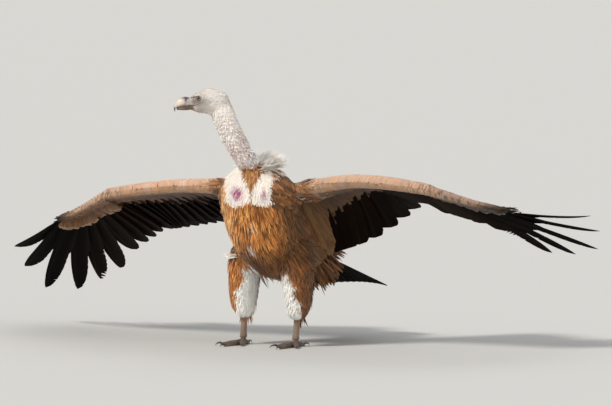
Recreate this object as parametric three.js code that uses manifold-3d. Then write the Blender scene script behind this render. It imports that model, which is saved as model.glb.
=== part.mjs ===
// Griffon vulture, adult, life-size, standing with both wings half open. Millimetres, +Z up.
// The bird faces -Y with its left side at +X, and its soles stand on Z = 0 under the trunk.
import * as THREE from "three";
import { mergeVertices } from "three/addons/utils/BufferGeometryUtils.js";
import Module from "manifold-3d";

const wasm = await Module();
wasm.setup();

// ---------- driving dimensions ----------
const GAP = 0.3;

// trunk with its body plumage, seen as slices from the neck to the tail root:
// [back y, back z, breast y, breast z, half width]
const TRUNK_SLICES = [
  [-66, 556, -122, 538, 36],
  [-30, 549, -150, 508, 80],
  [18, 524, -165, 448, 116],
  [64, 490, -154, 374, 116],
  [110, 450, -120, 304, 112],
  [156, 410, -66, 250, 108],
  [202, 372, 10, 214, 102],
  [244, 342, 96, 194, 90],
  [284, 318, 182, 200, 72],
  [318, 300, 254, 222, 48],
  [338, 288, 318, 252, 18],
];

// neck from the breast to the skull: [x, y, z, radius across, radius fore and aft]
const NECK_SLICES = [
  [0, -88, 508, 28, 28],
  [-5, -112, 552, 27.5, 28],
  [-18, -136, 597, 29, 31],
  [-36, -154, 648, 31, 34],
  [-54, -165, 697, 32.5, 36],
  [-66, -172, 726, 25, 28],
];

// the ruff of plumes behind the neck
const RUFF = { y: -70, z: 532, inner: 38, outer: 80, rise: 56, spikes: 14, front: 14 };

// head: turned to the bird's right, bill a little down
const HEAD_CENTRE = [-84, -181, 738];
const HEAD_TURN = 60;
const HEAD_DIP = 3;
// head slices: [forward, crown, chin, half width]
const HEAD_SLICES = [
  [-49, 12, 10, 13],
  [-42, 24, 24, 24],
  [-24, 36, 35, 32],
  [-2, 41, 38, 34.5],
  [16, 39, 36, 33],
  [32, 34.5, 33, 29],
  [44, 29.4, 30.6, 25],
  [56, 23.8, 27.8, 20.5],
  [67, 19.8, 24.6, 16.5],
  [77, 18, 22.6, 14],
];
const EYE = { forward: 38.2, up: 13.2, side: 21.4, radius: 8.6 };
// upper bill: [forward, culmen, cutting edge, half width]
const BILL_SLICES = [
  [77.4, 18, -6.5, 13.6],
  [85, 17.4, -6.8, 12.8],
  [92, 14.8, -8, 11.6],
  [101, 8.6, -11, 9.2],
  [106.5, 3.2, -16.5, 7],
  [109.6, -0.8, -25.5, 5],
  [112, -4.6, -22, 3.2],
  [113.3, -9, -15, 1.4],
];
// lower bill: [forward, upper edge, keel, half width]
const JAW_SLICES = [
  [77.4, -7.6, -22.4, 12.8],
  [87, -8.8, -21.6, 11.2],
  [97, -11.4, -20.6, 7.8],
  [102.5, -14.4, -19.6, 4.2],
];

// wings: bone joints and how each row of feathers is swept back and lowered, in degrees
const SHOULDER = [95, -42, 478];
const UPPER_ARM = 260;
const FOREARM = 340;
const HAND_LENGTH = 230;
const WING_LEFT = {
  side: 1,
  wrist: [583, -69, 484],
  bow: 22,
  hand: [50, 15],
  pitch: [4, 12],
  // [feather number, sweep, dip, reach from the wrist, sag before the tip curves up]
  primaries: [[1, 97, 13.5, 400, 0], [4, 91, 14.5, 460, 0], [5, 87, 16.5, 560, 0],
    [6, 80.5, 19, 650, 0], [7, 74, 18.5, 675, 4], [8, 67.5, 16.5, 690, 8], [9, 62, 12.5, 635, 17],
    [10, 57, 9, 560, 22]],
  // [share of the way from elbow to wrist, sweep, dip, length]
  secondaries: [[0, 90, 8, 350], [0.5, 91.5, 8.5, 370], [0.85, 95, 11.5, 380], [1, 97, 13, 380]],
  // [share of the way from shoulder to elbow, sweep, dip, length]
  tertials: [[0.08, 92, 45, 300], [0.5, 90, 31, 320], [0.8, 90, 17, 335], [1, 90, 8, 350]],
};
const WING_RIGHT = {
  side: -1,
  wrist: [-587, 16, 441],
  bow: 12,
  hand: [22, 20],
  pitch: [4, 7],
  primaries: [[1, 81, 18.5, 430, 0], [4, 67.5, 21.5, 545, 0], [5, 63, 26, 595, 0],
    [6, 56.5, 27.5, 645, 0], [7, 49.5, 29, 685, 0], [8, 40, 28, 695, 6], [9, 34.5, 22, 690, 20],
    [10, 29, 18, 620, 26]],
  secondaries: [[0, 92, 15, 350], [0.5, 90, 16, 370], [0.85, 86, 17.5, 390], [1, 83, 18.5, 390]],
  tertials: [[0.08, 96, 28, 300], [0.5, 94, 21, 320], [0.8, 93, 17, 335], [1, 92, 15, 350]],
};
const SECONDARY_COUNT = 14;
const TERTIAL_COUNT = 7;
const ELBOW_SHARE = 0.42;
// how far the leading edge stands in front of the line from shoulder to wrist
const LEAD_BULGE = 16;
// arm with its coverts: [share of the span, chord, thickness, thickness of the rear edge]
const ARM_SHAPE = [[-0.04, 165, 46, 6], [0.2, 215, 42, 5], [0.42, 248, 38, 4.5], [0.7, 205, 36, 4.5],
  [1, 132, 31, 6]];
// hand with its coverts: [share of the length, chord, thickness, thickness of the rear edge]
const HAND_SHAPE = [[0, 132, 31, 6], [0.35, 122, 23, 7], [0.7, 104, 17, 8], [1.1, 76, 10, 7]];
const VANE = 1.5;
// primaries: arch along the length, bow towards the front, and how far each root is tucked under
// the coverts; their roots sink from the first to the last
const PRIMARY = { arch: 20, bow: 26, tuck: 10, rootRise: [2, -6] };
// diameter of the shaft at the root and the tip of a primary
const SHAFT = [2.1, 1.6];
// primary vanes, innermost to outermost: [number, width of the broad part, width of the finger]
const PRIMARY_WIDTHS = [[1, 66, 66], [4, 64, 64], [5, 64, 54], [7, 66, 47], [9, 62, 44], [10, 50, 38]];

// tail fan of stiff feathers
const TAIL = { root: [0, 262, 270], yaw: 5, dip: 21.5, length: 304, fan: 20, count: 12, width: 26 };

// legs: feathered thighs with trousers, bare shanks and feet
const FOOT_X = 91;
const FOOT_Y = 14;
// feathered leg: [x, y, z, half width, half depth]
const THIGH_SLICES = [
  [74, 44, 322, 46, 70],
  [82, 34, 280, 52, 74],
  [87, 24, 232, 51, 66],
  [91, 20, 184, 47, 59],
  [93, 20, 140, 43, 52],
  [93, 22, 106, 37, 44],
  [92, 24, 84, 22, 26],
];
// bare shank: [x, y, z, half width, half depth]
const SHANK_SLICES = [
  [92.5, 25, 112, 11, 13],
  [92, 23, 84, 9.6, 11.5],
  [91.6, 19, 56, 9, 10.5],
  [91.2, 16, 34, 10, 11.5],
  [91, 15, 22, 12.5, 13.5],
];
// toes: [turn from straight ahead (outward positive), length, radius at the root, claw length]
const TOES = {
  inner: [-27, 66, 9.5, 31],
  middle: [3, 101, 9.8, 28],
  outer: [33, 72, 9, 25],
  hind: [172, 42, 9, 30],
};
const SOLE_CUT = 1.6;

// ---------- small tools ----------
const rad = THREE.MathUtils.degToRad;
const vec = (p) => new THREE.Vector3(p[0], p[1], p[2]);
const mix = (a, b, t) => a + (b - a) * t;

/** Smooth reading of a table whose first column rises: the other columns at that value. */
function track(rows, at) {
  let k = 0;
  while (k < rows.length - 2 && at > rows[k + 1][0]) k += 1;
  const a = rows[k];
  const b = rows[k + 1];
  const t = THREE.MathUtils.clamp((at - a[0]) / (b[0] - a[0]), 0, 1);
  return a.slice(1).map((v, c) => {
    const before = k > 0 ? rows[k - 1] : a;
    const after = k + 2 < rows.length ? rows[k + 2] : b;
    const inSlope = (b[c + 1] - before[c + 1]) / (b[0] - before[0]) * (b[0] - a[0]);
    const outSlope = (after[c + 1] - v) / (after[0] - a[0]) * (b[0] - a[0]);
    const t2 = t * t;
    const t3 = t2 * t;
    return v * (2 * t3 - 3 * t2 + 1) + inSlope * (t3 - 2 * t2 + t)
      + b[c + 1] * (3 * t2 - 2 * t3) + outSlope * (t3 - t2);
  });
}

/** Reads a table by an even 0..1 run over its rows. */
function glide(rows, t) {
  return track(rows.map((row, k) => [k, ...row]), t * (rows.length - 1));
}

/** Direction swept back from straight sideways and lowered, on one side of the bird. */
function heading(side, sweep, dip) {
  return new THREE.Vector3(
    side * Math.cos(rad(sweep)) * Math.cos(rad(dip)),
    Math.sin(rad(sweep)) * Math.cos(rad(dip)),
    -Math.sin(rad(dip)),
  );
}

/** Solid from rings of points: neighbours are joined and both ends are closed. */
function loft(rings) {
  const count = rings[0].length;
  const points = rings.flat();
  const faces = [];
  for (let r = 0; r < rings.length - 1; r += 1) {
    for (let i = 0; i < count; i += 1) {
      const a = r * count + i;
      const b = r * count + (i + 1) % count;
      faces.push(a, b, b + count, a, b + count, a + count);
    }
  }
  const last = (rings.length - 1) * count;
  points.push(mean(rings[0]), mean(rings[rings.length - 1]));
  for (let i = 0; i < count; i += 1) {
    faces.push(points.length - 2, (i + 1) % count, i);
    faces.push(points.length - 1, last + i, last + (i + 1) % count);
  }
  return solid(points, faces);
}

function mean(points) {
  const sum = new THREE.Vector3();
  points.forEach((p) => sum.add(p));
  return sum.divideScalar(points.length);
}

function solid(points, faces) {
  let volume = 0;
  for (let i = 0; i < faces.length; i += 3) {
    const [a, b, c] = [points[faces[i]], points[faces[i + 1]], points[faces[i + 2]]];
    volume += a.dot(new THREE.Vector3().crossVectors(b, c));
  }
  const order = volume < 0 ? faces.slice().reverse() : faces;
  const mesh = new wasm.Mesh({
    numProp: 3,
    vertProperties: new Float32Array(points.flatMap((p) => [p.x, p.y, p.z])),
    triVerts: new Uint32Array(order),
  });
  return new wasm.Manifold(mesh);
}

/** A solid from one of the three.js shapes, moved to its place. */
function shape(geometry, x, y, z) {
  geometry.translate(x, y, z);
  geometry.deleteAttribute("normal");
  geometry.deleteAttribute("uv");
  const merged = mergeVertices(geometry, 0.001);
  const at = merged.getAttribute("position");
  const points = [];
  for (let i = 0; i < at.count; i += 1) points.push(new THREE.Vector3().fromBufferAttribute(at, i));
  return solid(points, Array.from(merged.index.array));
}

/** The biggest single piece left of a solid after others are cut out of it. */
function cut(body, ...others) {
  let left = body;
  others.forEach((other) => {
    left = left.subtract(other);
  });
  return left.decompose().sort((a, b) => b.volume() - a.volume())[0];
}

/** Oval ring: `across` and `up` are the axes, with the upper and lower reach given apart. */
function oval(centre, across, up, half, top, bottom, count, square = 1) {
  const ring = [];
  for (let i = 0; i < count; i += 1) {
    const angle = 2 * Math.PI * i / count;
    const c = Math.cos(angle);
    const s = Math.sin(angle);
    const reach = s > 0 ? top : bottom;
    ring.push(centre.clone()
      .addScaledVector(across, half * Math.sign(c) * Math.abs(c) ** square)
      .addScaledVector(up, reach * Math.sign(s) * Math.abs(s) ** square));
  }
  return ring;
}

const group = new THREE.Group();
group.name = "griffon_vulture";

function add(name, body, material) {
  const mesh = body.getMesh();
  const geometry = new THREE.BufferGeometry();
  const at = new Float32Array(mesh.vertProperties.length);
  at.set(mesh.vertProperties);
  geometry.setAttribute("position", new THREE.BufferAttribute(at, 3));
  geometry.setIndex(new THREE.BufferAttribute(new Uint32Array(mesh.triVerts), 1));
  geometry.computeVertexNormals();
  const node = new THREE.Mesh(geometry, material);
  node.name = name;
  group.add(node);
}

function paint(name, color, roughness) {
  const material = new THREE.MeshStandardMaterial({ color, roughness, metalness: 0 });
  material.name = name;
  return material;
}

const bodyPlumage = paint("body_plumage", 0x9a5a2a, 0.9);
const covertPlumage = paint("covert_plumage", 0xa07850, 0.9);
const flightPlumage = paint("flight_plumage", 0x1d1814, 0.75);
const neckDown = paint("neck_down", 0xd9cfc6, 0.95);
const ruffPlumes = paint("ruff_plumes", 0xe4d3bf, 0.95);
const legPlumage = paint("leg_plumage", 0xc9a88c, 0.95);
const billHorn = paint("bill_horn", 0xb09a86, 0.45);
const legSkin = paint("leg_skin", 0x6f625c, 0.7);
const clawHorn = paint("claw_horn", 0x241f1d, 0.4);
const eyeGloss = paint("eye_gloss", 0x3a2413, 0.1);

// ---------- trunk ----------
function trunkSolid(extra) {
  const rings = [];
  const steps = 16;
  for (let i = 0; i <= steps; i += 1) {
    const [by, bz, vy, vz, half] = glide(TRUNK_SLICES, i / steps);
    const back = new THREE.Vector3(0, by, bz);
    const breast = new THREE.Vector3(0, vy, vz);
    const up = back.clone().sub(breast);
    const depth = up.length() / 2 + extra;
    up.normalize();
    rings.push(oval(mean([back, breast]), new THREE.Vector3(1, 0, 0), up, half + extra, depth,
      depth, 18, 0.92));
  }
  return loft(rings);
}
const trunk = trunkSolid(0);
const trunkWide = trunkSolid(GAP);
add("trunk", trunk, bodyPlumage);

// ---------- head ----------
const headForward = new THREE.Vector3(
  -Math.sin(rad(HEAD_TURN)) * Math.cos(rad(HEAD_DIP)),
  -Math.cos(rad(HEAD_TURN)) * Math.cos(rad(HEAD_DIP)),
  -Math.sin(rad(HEAD_DIP)),
);
const headSide = new THREE.Vector3(Math.cos(rad(HEAD_TURN)), -Math.sin(rad(HEAD_TURN)), 0);
const headUp = new THREE.Vector3().crossVectors(headForward, headSide).normalize();
if (headUp.z < 0) headUp.negate();

function inHead(forward, side, up) {
  return vec(HEAD_CENTRE).addScaledVector(headForward, forward).addScaledVector(headSide, side)
    .addScaledVector(headUp, up);
}

/** Lofts head slices of [forward, top, bottom, half width]; both ends move out by `extra`. */
function headLoft(slices, steps, count, extra, square) {
  const rings = [];
  for (let i = 0; i <= steps; i += 1) {
    const t = i / steps;
    const [forward, top, bottom, half] = glide(slices, t);
    const middle = (top + bottom) / 2;
    const reach = (top - bottom) / 2 + extra;
    const end = i === 0 ? -extra : extra * (i === steps);
    rings.push(oval(inHead(forward + end, 0, middle), headSide, headUp, half + extra, reach,
      reach, count, square));
  }
  return loft(rings);
}
const skullSlices = HEAD_SLICES.map(([f, crown, chin, half]) => [f, crown, -chin, half]);
const head = headLoft(skullSlices, 11, 14, 0, 0.95);
const headWide = headLoft(skullSlices, 11, 14, GAP, 0.95);

const eyes = [1, -1].map((side) => {
  const at = inHead(EYE.forward, side * EYE.side, EYE.up);
  const ball = (extra) => shape(new THREE.SphereGeometry(EYE.radius + extra, 10, 7), ...at);
  return { ball: ball(0), socket: ball(GAP) };
});
add("head", cut(head, eyes[0].socket, eyes[1].socket), neckDown);
add("eye_left", eyes[0].ball, eyeGloss);
add("eye_right", eyes[1].ball, eyeGloss);
add("bill_upper", headLoft(BILL_SLICES, 14, 10, 0, 0.9), billHorn);
add("bill_lower", headLoft(JAW_SLICES, 4, 8, 0, 0.9), billHorn);

// ---------- neck and ruff ----------
function neckSolid(extra) {
  const rings = [];
  const steps = 8;
  for (let i = 0; i <= steps; i += 1) {
    const t = i / steps;
    const [x, y, z, across, deep] = glide(NECK_SLICES, t);
    const after = glide(NECK_SLICES, Math.min(t + 0.02, 1));
    const before = glide(NECK_SLICES, Math.max(t - 0.02, 0));
    const along = vec(after).sub(vec(before)).normalize();
    const side = new THREE.Vector3().crossVectors(along, headForward).normalize();
    const fore = new THREE.Vector3().crossVectors(side, along).normalize();
    rings.push(oval(new THREE.Vector3(x, y, z), side, fore, across + extra, deep + extra,
      deep + extra, 12));
  }
  return loft(rings);
}
const neck = cut(neckSolid(0), trunkWide, headWide);
const neckWide = neckSolid(GAP);
add("neck", neck, neckDown);

// a collar of plumes: tall and spiky behind, low in front where the crop shows
function ruffSolid() {
  const { y, z, inner, outer, rise, spikes, front } = RUFF;
  const turns = spikes * 3;
  const points = [];
  const faces = [];
  for (let i = 0; i < turns; i += 1) {
    const angle = 2 * Math.PI * i / turns;
    const behind = 0.5 + 0.5 * Math.sin(angle);
    const spike = i % 3 === 0 ? 1 : 0.72 + 0.08 * (i % 2);
    const out = new THREE.Vector3(Math.cos(angle), Math.sin(angle) * 0.95, 0);
    const lift = mix(front, rise, behind ** 1.3) * spike;
    const wide = mix(inner + 12, outer, behind) * (0.9 + 0.1 * spike);
    const lean = mix(-34, 2, behind);
    const ring = [
      [inner - 8, -18 + lean * 0.7],
      [inner - 6, lift * 0.35 + lean * 0.6],
      [wide - 6, lift + lean * 0.5],
      [wide, lift * 0.92 + lean * 0.5],
      [wide - 2, lift * 0.3 + lean * 0.6],
      [inner + 14, -20 + lean * 0.7],
    ];
    ring.forEach(([r, h]) => points.push(new THREE.Vector3(0, y, z + h).addScaledVector(out, r)));
  }
  for (let i = 0; i < turns; i += 1) {
    for (let k = 0; k < 6; k += 1) {
      const a = i * 6 + k;
      const b = i * 6 + (k + 1) % 6;
      const c = (i + 1) % turns * 6 + k;
      const d = (i + 1) % turns * 6 + (k + 1) % 6;
      faces.push(a, b, d, a, d, c);
    }
  }
  return solid(points, faces);
}
add("ruff", cut(ruffSolid(), trunkWide, neckWide), ruffPlumes);

// ---------- legs ----------
function column(slices, steps, count, extra) {
  const rings = [];
  for (let i = 0; i <= steps; i += 1) {
    const t = i / steps;
    const [x, y, z, half, deep] = glide(slices, t);
    const end = i === 0 ? extra : -extra * (i === steps);
    rings.push(oval(new THREE.Vector3(x, y, z + end), new THREE.Vector3(1, 0, 0),
      new THREE.Vector3(0, 1, 0), half + extra, deep + extra, deep + extra, count));
  }
  return loft(rings);
}

/** One toe: a row of pads that narrows from the root to the claw. */
function toeSolid(turn, length, radius) {
  const rings = [];
  const steps = 5;
  const ahead = new THREE.Vector3(Math.sin(rad(turn)), -Math.cos(rad(turn)), 0);
  const side = new THREE.Vector3(Math.cos(rad(turn)), Math.sin(rad(turn)), 0);
  for (let i = 0; i <= steps; i += 1) {
    const t = i / steps;
    const pad = 1 + 0.1 * Math.cos(t * Math.PI * 2 * (length > 90 ? 3 : 2));
    const size = mix(radius, radius * 0.66, t) * pad * (i === steps ? 0.8 : 1);
    const height = mix(radius * 1.25, size, Math.min(t * 2.2, 1)) - SOLE_CUT;
    const centre = new THREE.Vector3(FOOT_X, FOOT_Y, height).addScaledVector(ahead, length * t);
    rings.push(oval(centre, side, new THREE.Vector3(0, 0, 1), size, size * 1.05, size, 7));
  }
  return loft(rings);
}

/** A hooked claw that leaves the toe end and comes down to the ground. */
function clawSolid(turn, length, claw) {
  const rings = [];
  const steps = 4;
  const ahead = new THREE.Vector3(Math.sin(rad(turn)), -Math.cos(rad(turn)), 0);
  const side = new THREE.Vector3(Math.cos(rad(turn)), Math.sin(rad(turn)), 0);
  for (let i = 0; i <= steps; i += 1) {
    const t = i / steps;
    const bend = mix(0.25, -1.2, t);
    const size = mix(4.6, 0.7, t);
    const reach = length + GAP + claw * 0.86 * Math.sin(t * 1.35);
    const height = 7.5 + 3.4 * Math.sin(t * Math.PI * 0.62) - 9.6 * t * t;
    const centre = new THREE.Vector3(FOOT_X, FOOT_Y, height).addScaledVector(ahead, reach);
    const up = new THREE.Vector3(0, 0, Math.cos(bend)).addScaledVector(ahead, -Math.sin(bend));
    rings.push(oval(centre, side, i === 0 ? new THREE.Vector3(0, 0, 1) : up, size * 0.8, size,
      size * 0.9, 6));
  }
  return loft(rings);
}

const ground = shape(new THREE.BoxGeometry(4000, 4000, 200), 0, 0, -100);
const thigh = column(THIGH_SLICES, 8, 12, 0);
const thighWide = column(THIGH_SLICES, 8, 12, GAP);
const shank = cut(column(SHANK_SLICES, 5, 10, 0), thighWide);
const shankWide = column(SHANK_SLICES, 5, 10, GAP);
const toes = Object.entries(TOES);
const ankle = shape(new THREE.SphereGeometry(12.4, 10, 7), FOOT_X, FOOT_Y, 10.6);
const footWhole = toes.reduce((body, [, [turn, length, radius]]) => (
  body.add(toeSolid(turn, length, radius))), ankle);
const foot = cut(footWhole, shankWide, ground);
const claws = toes.map(([name, [turn, length, , claw]]) => [name, clawSolid(turn, length, claw)]);

for (const [word, mirror] of [["left", [1, 1, 1]], ["right", [-1, 1, 1]]]) {
  const place = (body) => (word === "left" ? body : body.scale(mirror));
  add(`thigh_${word}`, cut(place(thigh), trunkWide), legPlumage);
  add(`shank_${word}`, place(shank), legSkin);
  add(`foot_${word}`, place(foot), legSkin);
  claws.forEach(([name, body]) => add(`claw_${name}_${word}`, cut(place(body), ground), clawHorn));
}

// ---------- wings ----------
/** Elbow behind the straight line from shoulder to wrist, set by the two bone lengths. */
function elbowOf(shoulder, wrist) {
  const line = wrist.clone().sub(shoulder);
  const span = line.length();
  line.normalize();
  const along = (UPPER_ARM ** 2 + span ** 2 - FOREARM ** 2) / (2 * span);
  const back = new THREE.Vector3(0, 1, -0.04);
  back.addScaledVector(line, -back.dot(line)).normalize();
  return shoulder.clone().addScaledVector(line, along)
    .addScaledVector(back, Math.sqrt(UPPER_ARM ** 2 - along ** 2));
}

/** Slice through the arm: thick and round in front, thinner where the coverts end. */
function armRing({ lead, way, chord, thick, rear }, extra) {
  const up = new THREE.Vector3(0, 0, 1).addScaledVector(way, -way.z).normalize();
  const half = rear / 2;
  const shape = [[0, 0], [0.04, 0.4], [0.14, 0.62], [0.34, 0.56], [0.66, 0.36], [1, 0],
    [0.66, -0.1], [0.34, -0.28], [0.14, -0.4], [0.04, -0.28]];
  const ring = [];
  shape.forEach(([at, rise]) => {
    const spread = at === 1 ? [half, -half] : [rise * thick + Math.sign(rise) * half * at];
    const along = chord / 2 + (at - 0.5) * (chord + 2 * extra);
    spread.forEach((height) => ring.push(lead.clone().addScaledVector(way, along)
      .addScaledVector(up, height + Math.sign(height) * extra)));
  });
  return ring;
}

/** A closed plate with a curved surface: `surface(u, v)` gives its top and down side. */
function plate(columns, rowShares, surface) {
  const points = [];
  const faces = [];
  const rows = rowShares.length;
  for (let level = 0; level < 2; level += 1) {
    for (let i = 0; i <= columns; i += 1) {
      rowShares.forEach((share) => points.push(surface(i / columns, share, level)));
    }
  }
  const id = (level, i, k) => (level * (columns + 1) + i) * rows + k;
  for (let i = 0; i < columns; i += 1) {
    for (let k = 0; k < rows - 1; k += 1) {
      faces.push(id(0, i, k), id(0, i + 1, k), id(0, i + 1, k + 1));
      faces.push(id(0, i, k), id(0, i + 1, k + 1), id(0, i, k + 1));
      faces.push(id(1, i, k), id(1, i + 1, k + 1), id(1, i + 1, k));
      faces.push(id(1, i, k), id(1, i, k + 1), id(1, i + 1, k + 1));
    }
    for (const [k, flip] of [[0, false], [rows - 1, true]]) {
      const quad = [id(0, i, k), id(1, i, k), id(1, i + 1, k), id(0, i + 1, k)];
      const [a, b, c, d] = flip ? quad.reverse() : quad;
      faces.push(a, b, c, a, c, d);
    }
  }
  for (let k = 0; k < rows - 1; k += 1) {
    for (const [i, flip] of [[0, true], [columns, false]]) {
      const quad = [id(0, i, k), id(1, i, k), id(1, i, k + 1), id(0, i, k + 1)];
      const [a, b, c, d] = flip ? quad.reverse() : quad;
      faces.push(a, b, c, a, c, d);
    }
  }
  return solid(points, faces);
}

/** Row of side-by-side vanes as one plate, its far edge scalloped by the rounded tips. */
function vaneRow(count, rootAt, tipAt) {
  const columns = count * 3;
  return plate(columns, [0, 1], (u, v, level) => {
    const step = Math.round(u * columns) % 3;
    const root = rootAt(u);
    const way = tipAt(u).sub(root);
    const length = way.length() - v * [24, 2, 2][step];
    const at = root.addScaledVector(way.normalize(), length * v);
    at.z -= level * VANE;
    return at;
  });
}

/** One long flight feather, its finger narrowed beyond the notch. */
function primarySolid(wing, base, tip, number, sag, pitch, extra) {
  const way = tip.clone().sub(base);
  const length = way.length();
  way.normalize();
  const flat = new THREE.Vector3(0, 0, 1).addScaledVector(way, -way.z).normalize();
  const front = new THREE.Vector3().crossVectors(way, flat).multiplyScalar(wing.side).normalize();
  const turn = rad(pitch);
  const fore = front.clone().multiplyScalar(Math.cos(turn)).addScaledVector(flat, Math.sin(turn));
  const up = flat.clone().multiplyScalar(Math.cos(turn)).addScaledVector(front, -Math.sin(turn));
  const [broad, finger] = track(PRIMARY_WIDTHS, number);
  const notch = number > 4.5 ? mix(0.3, 0.4, (10 - number) / 5) : 0.6;
  const rings = [0, notch, notch + 0.1, 0.86, 0.96, 1].map((t) => {
    const wide = t <= notch ? mix(broad * 0.7, broad, t / notch) : finger;
    const round = t > 0.8 ? Math.sqrt(Math.max(1 - ((t - 0.8) / 0.2) ** 2.4, 0.014)) : 1;
    const w = wide * round;
    const c = base.clone().addScaledVector(way, length * t)
      .addScaledVector(flat, PRIMARY.arch * t * (1 - t) - sag * 1.6 * (t - t ** 2.2))
      .addScaledVector(front, PRIMARY.bow * t * (1 - t));
    const rachis = mix(...SHAFT, t) / 2 + extra;
    const edge = VANE / 2 + extra;
    const lead = 0.32 * w + extra;
    const trail = 0.68 * w + extra;
    const at = (f, n) => c.clone().addScaledVector(fore, f).addScaledVector(up, n);
    return [at(lead, edge - 1), at(0, rachis), at(-trail, edge - 2), at(-trail, -edge - 2),
      at(0, -rachis), at(lead, -1 - edge)];
  });
  return loft(rings);
}

function buildWing(word, wing) {
  const side = wing.side;
  const shoulder = new THREE.Vector3(side * SHOULDER[0], SHOULDER[1], SHOULDER[2]);
  const wrist = vec(wing.wrist);
  const elbow = elbowOf(shoulder, wrist);
  const handWay = heading(side, wing.hand[0], wing.hand[1]);

  // the arm as slices by share of the span from shoulder to wrist; the elbow lies at ELBOW_SHARE
  const tipOf = (s) => {
    const inner = s < ELBOW_SHARE;
    const share = inner ? s / ELBOW_SHARE : (s - ELBOW_SHARE) / (1 - ELBOW_SHARE);
    const [sweep, dip, length] = track(inner ? wing.tertials : wing.secondaries, share);
    const bone = inner ? shoulder.clone().lerp(elbow, share) : elbow.clone().lerp(wrist, share);
    return bone.addScaledVector(heading(side, sweep, dip), length);
  };
  const armSlice = (s) => {
    const [chord, thick, rear] = track(ARM_SHAPE, s);
    const lead = shoulder.clone().lerp(wrist, s);
    lead.z += wing.bow * Math.sin(Math.PI * s);
    lead.y -= LEAD_BULGE * Math.sin(Math.PI * Math.min(s, 0.96));
    const way = tipOf(s).sub(lead).normalize();
    way.z *= 0.6;
    return { lead, way: way.normalize(), chord, thick, rear };
  };
  const rearOf = ({ lead, way, chord }, tuck) => lead.clone().addScaledVector(way, chord - tuck);
  const armLoft = (a, b, steps, extra) => {
    const rings = [];
    for (let i = 0; i <= steps; i += 1) {
      rings.push(armRing(armSlice(mix(a, b, i / steps)), extra));
    }
    return loft(rings);
  };

  // the hand with its small coverts, by share of its length
  const reach = (number) => {
    const [sweep, dip, length] = track(wing.primaries, number);
    return wrist.clone().addScaledVector(heading(side, sweep, dip), length);
  };
  const handSlice = (s) => {
    const [chord, thick, rear] = track(HAND_SHAPE, s);
    const lead = wrist.clone().addScaledVector(handWay, HAND_LENGTH * s);
    const way = reach(mix(1, 10, Math.min(s, 1))).sub(lead).normalize();
    return { lead, way, chord, thick, rear };
  };
  const handLoft = (extra) => {
    const rings = [];
    for (let i = 0; i <= 6; i += 1) rings.push(armRing(handSlice(1.1 * i / 6), extra));
    return loft(rings);
  };
  const elbowGap = GAP / 500;
  const upper = (extra) => armLoft(-0.04, ELBOW_SHARE, 5, extra);
  const lower = (extra) => armLoft(ELBOW_SHARE + elbowGap, 1, 6, extra);
  const armWide = upper(GAP).add(lower(GAP));
  const handWide = handLoft(GAP);
  add(`upper_arm_${word}`, cut(upper(0), trunkWide), covertPlumage);
  add(`forearm_${word}`, lower(0), covertPlumage);
  add(`hand_${word}`, cut(handLoft(0), armWide), covertPlumage);

  // shorter vanes on the upper arm, long ones on the forearm
  const span = (a, b) => [
    (u) => rearOf(armSlice(mix(a, b, u)), 9),
    (u) => tipOf(mix(a, b, u)),
  ];
  const tertials = vaneRow(TERTIAL_COUNT, ...span(0.04, ELBOW_SHARE - 0.001));
  const secondaries = vaneRow(SECONDARY_COUNT, ...span(ELBOW_SHARE + 0.001, 0.995));
  add(`tertials_${word}`, cut(tertials, armWide, trunkWide), flightPlumage);
  add(`secondaries_${word}`, cut(secondaries, armWide, handWide), flightPlumage);

  // ten primaries, each tucked under the next one in
  let taken = grow(secondaries);
  for (let number = 1; number <= 10; number += 1) {
    const t = (number - 1) / 9;
    const base = rearOf(handSlice(mix(0.06, 0.97, t)), PRIMARY.tuck);
    base.z += mix(...PRIMARY.rootRise, t);
    const pitch = mix(wing.pitch[0], wing.pitch[1], t);
    const sag = track(wing.primaries, number)[3];
    const body = primarySolid(wing, base, reach(number), number, sag, pitch, 0);
    const name = `primary_${String(number).padStart(2, "0")}_${word}`;
    add(name, cut(body, armWide, handWide, taken), flightPlumage);
    taken = taken.add(primarySolid(wing, base, reach(number), number, sag, pitch, GAP));
  }

  // the alula, a small stiff tuft on the leading edge of the hand
  const start = wrist.clone().addScaledVector(handWay, 26);
  start.z += 10;
  const end = start.clone().addScaledVector(heading(side, wing.hand[0] + 2, wing.hand[1] - 2), 150);
  const alula = primarySolid(wing, start, end, 10, 0, 8, 0);
  add(`alula_${word}`, cut(alula, handWide, armWide, taken), covertPlumage);
}

/** The same solid swollen by the gap, by joining copies moved up and down. */
function grow(body) {
  return body.add(body.translate([0, 0, GAP])).add(body.translate([0, 0, -GAP]));
}

buildWing("left", WING_LEFT);
buildWing("right", WING_RIGHT);

// ---------- tail ----------
function tailSolid() {
  const root = vec(TAIL.root);
  const columns = TAIL.count * 2;
  return plate(columns, [0, 1], (u, v, level) => {
    const turn = mix(-TAIL.fan, TAIL.fan, u);
    const way = heading(1, 90 - TAIL.yaw - turn, TAIL.dip);
    const scallop = v * [16, 0][Math.round(u * columns) % 2];
    const outerShort = 16 * Math.abs(2 * u - 1) ** 2;
    const at = root.clone().add(new THREE.Vector3(mix(-1, 1, u) * TAIL.width, 0, 0));
    at.addScaledVector(way, (TAIL.length - outerShort - scallop) * v);
    at.z -= 10 * (2 * u - 1) ** 2 * v + (level === 0 ? 0 : VANE * 1.3);
    return at;
  });
}
add("tail", cut(tailSolid(), trunkWide), flightPlumage);

// the origin is the middle of the whole bird's footprint, on the ground
const extent = new THREE.Box3().setFromObject(group);
const middle = extent.getCenter(new THREE.Vector3());
group.position.set(-middle.x, -middle.y, 0);

export default group;
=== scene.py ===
import itertools
import math

import bpy
import numpy as np
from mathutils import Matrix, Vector
from mathutils.bvhtree import BVHTree


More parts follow.
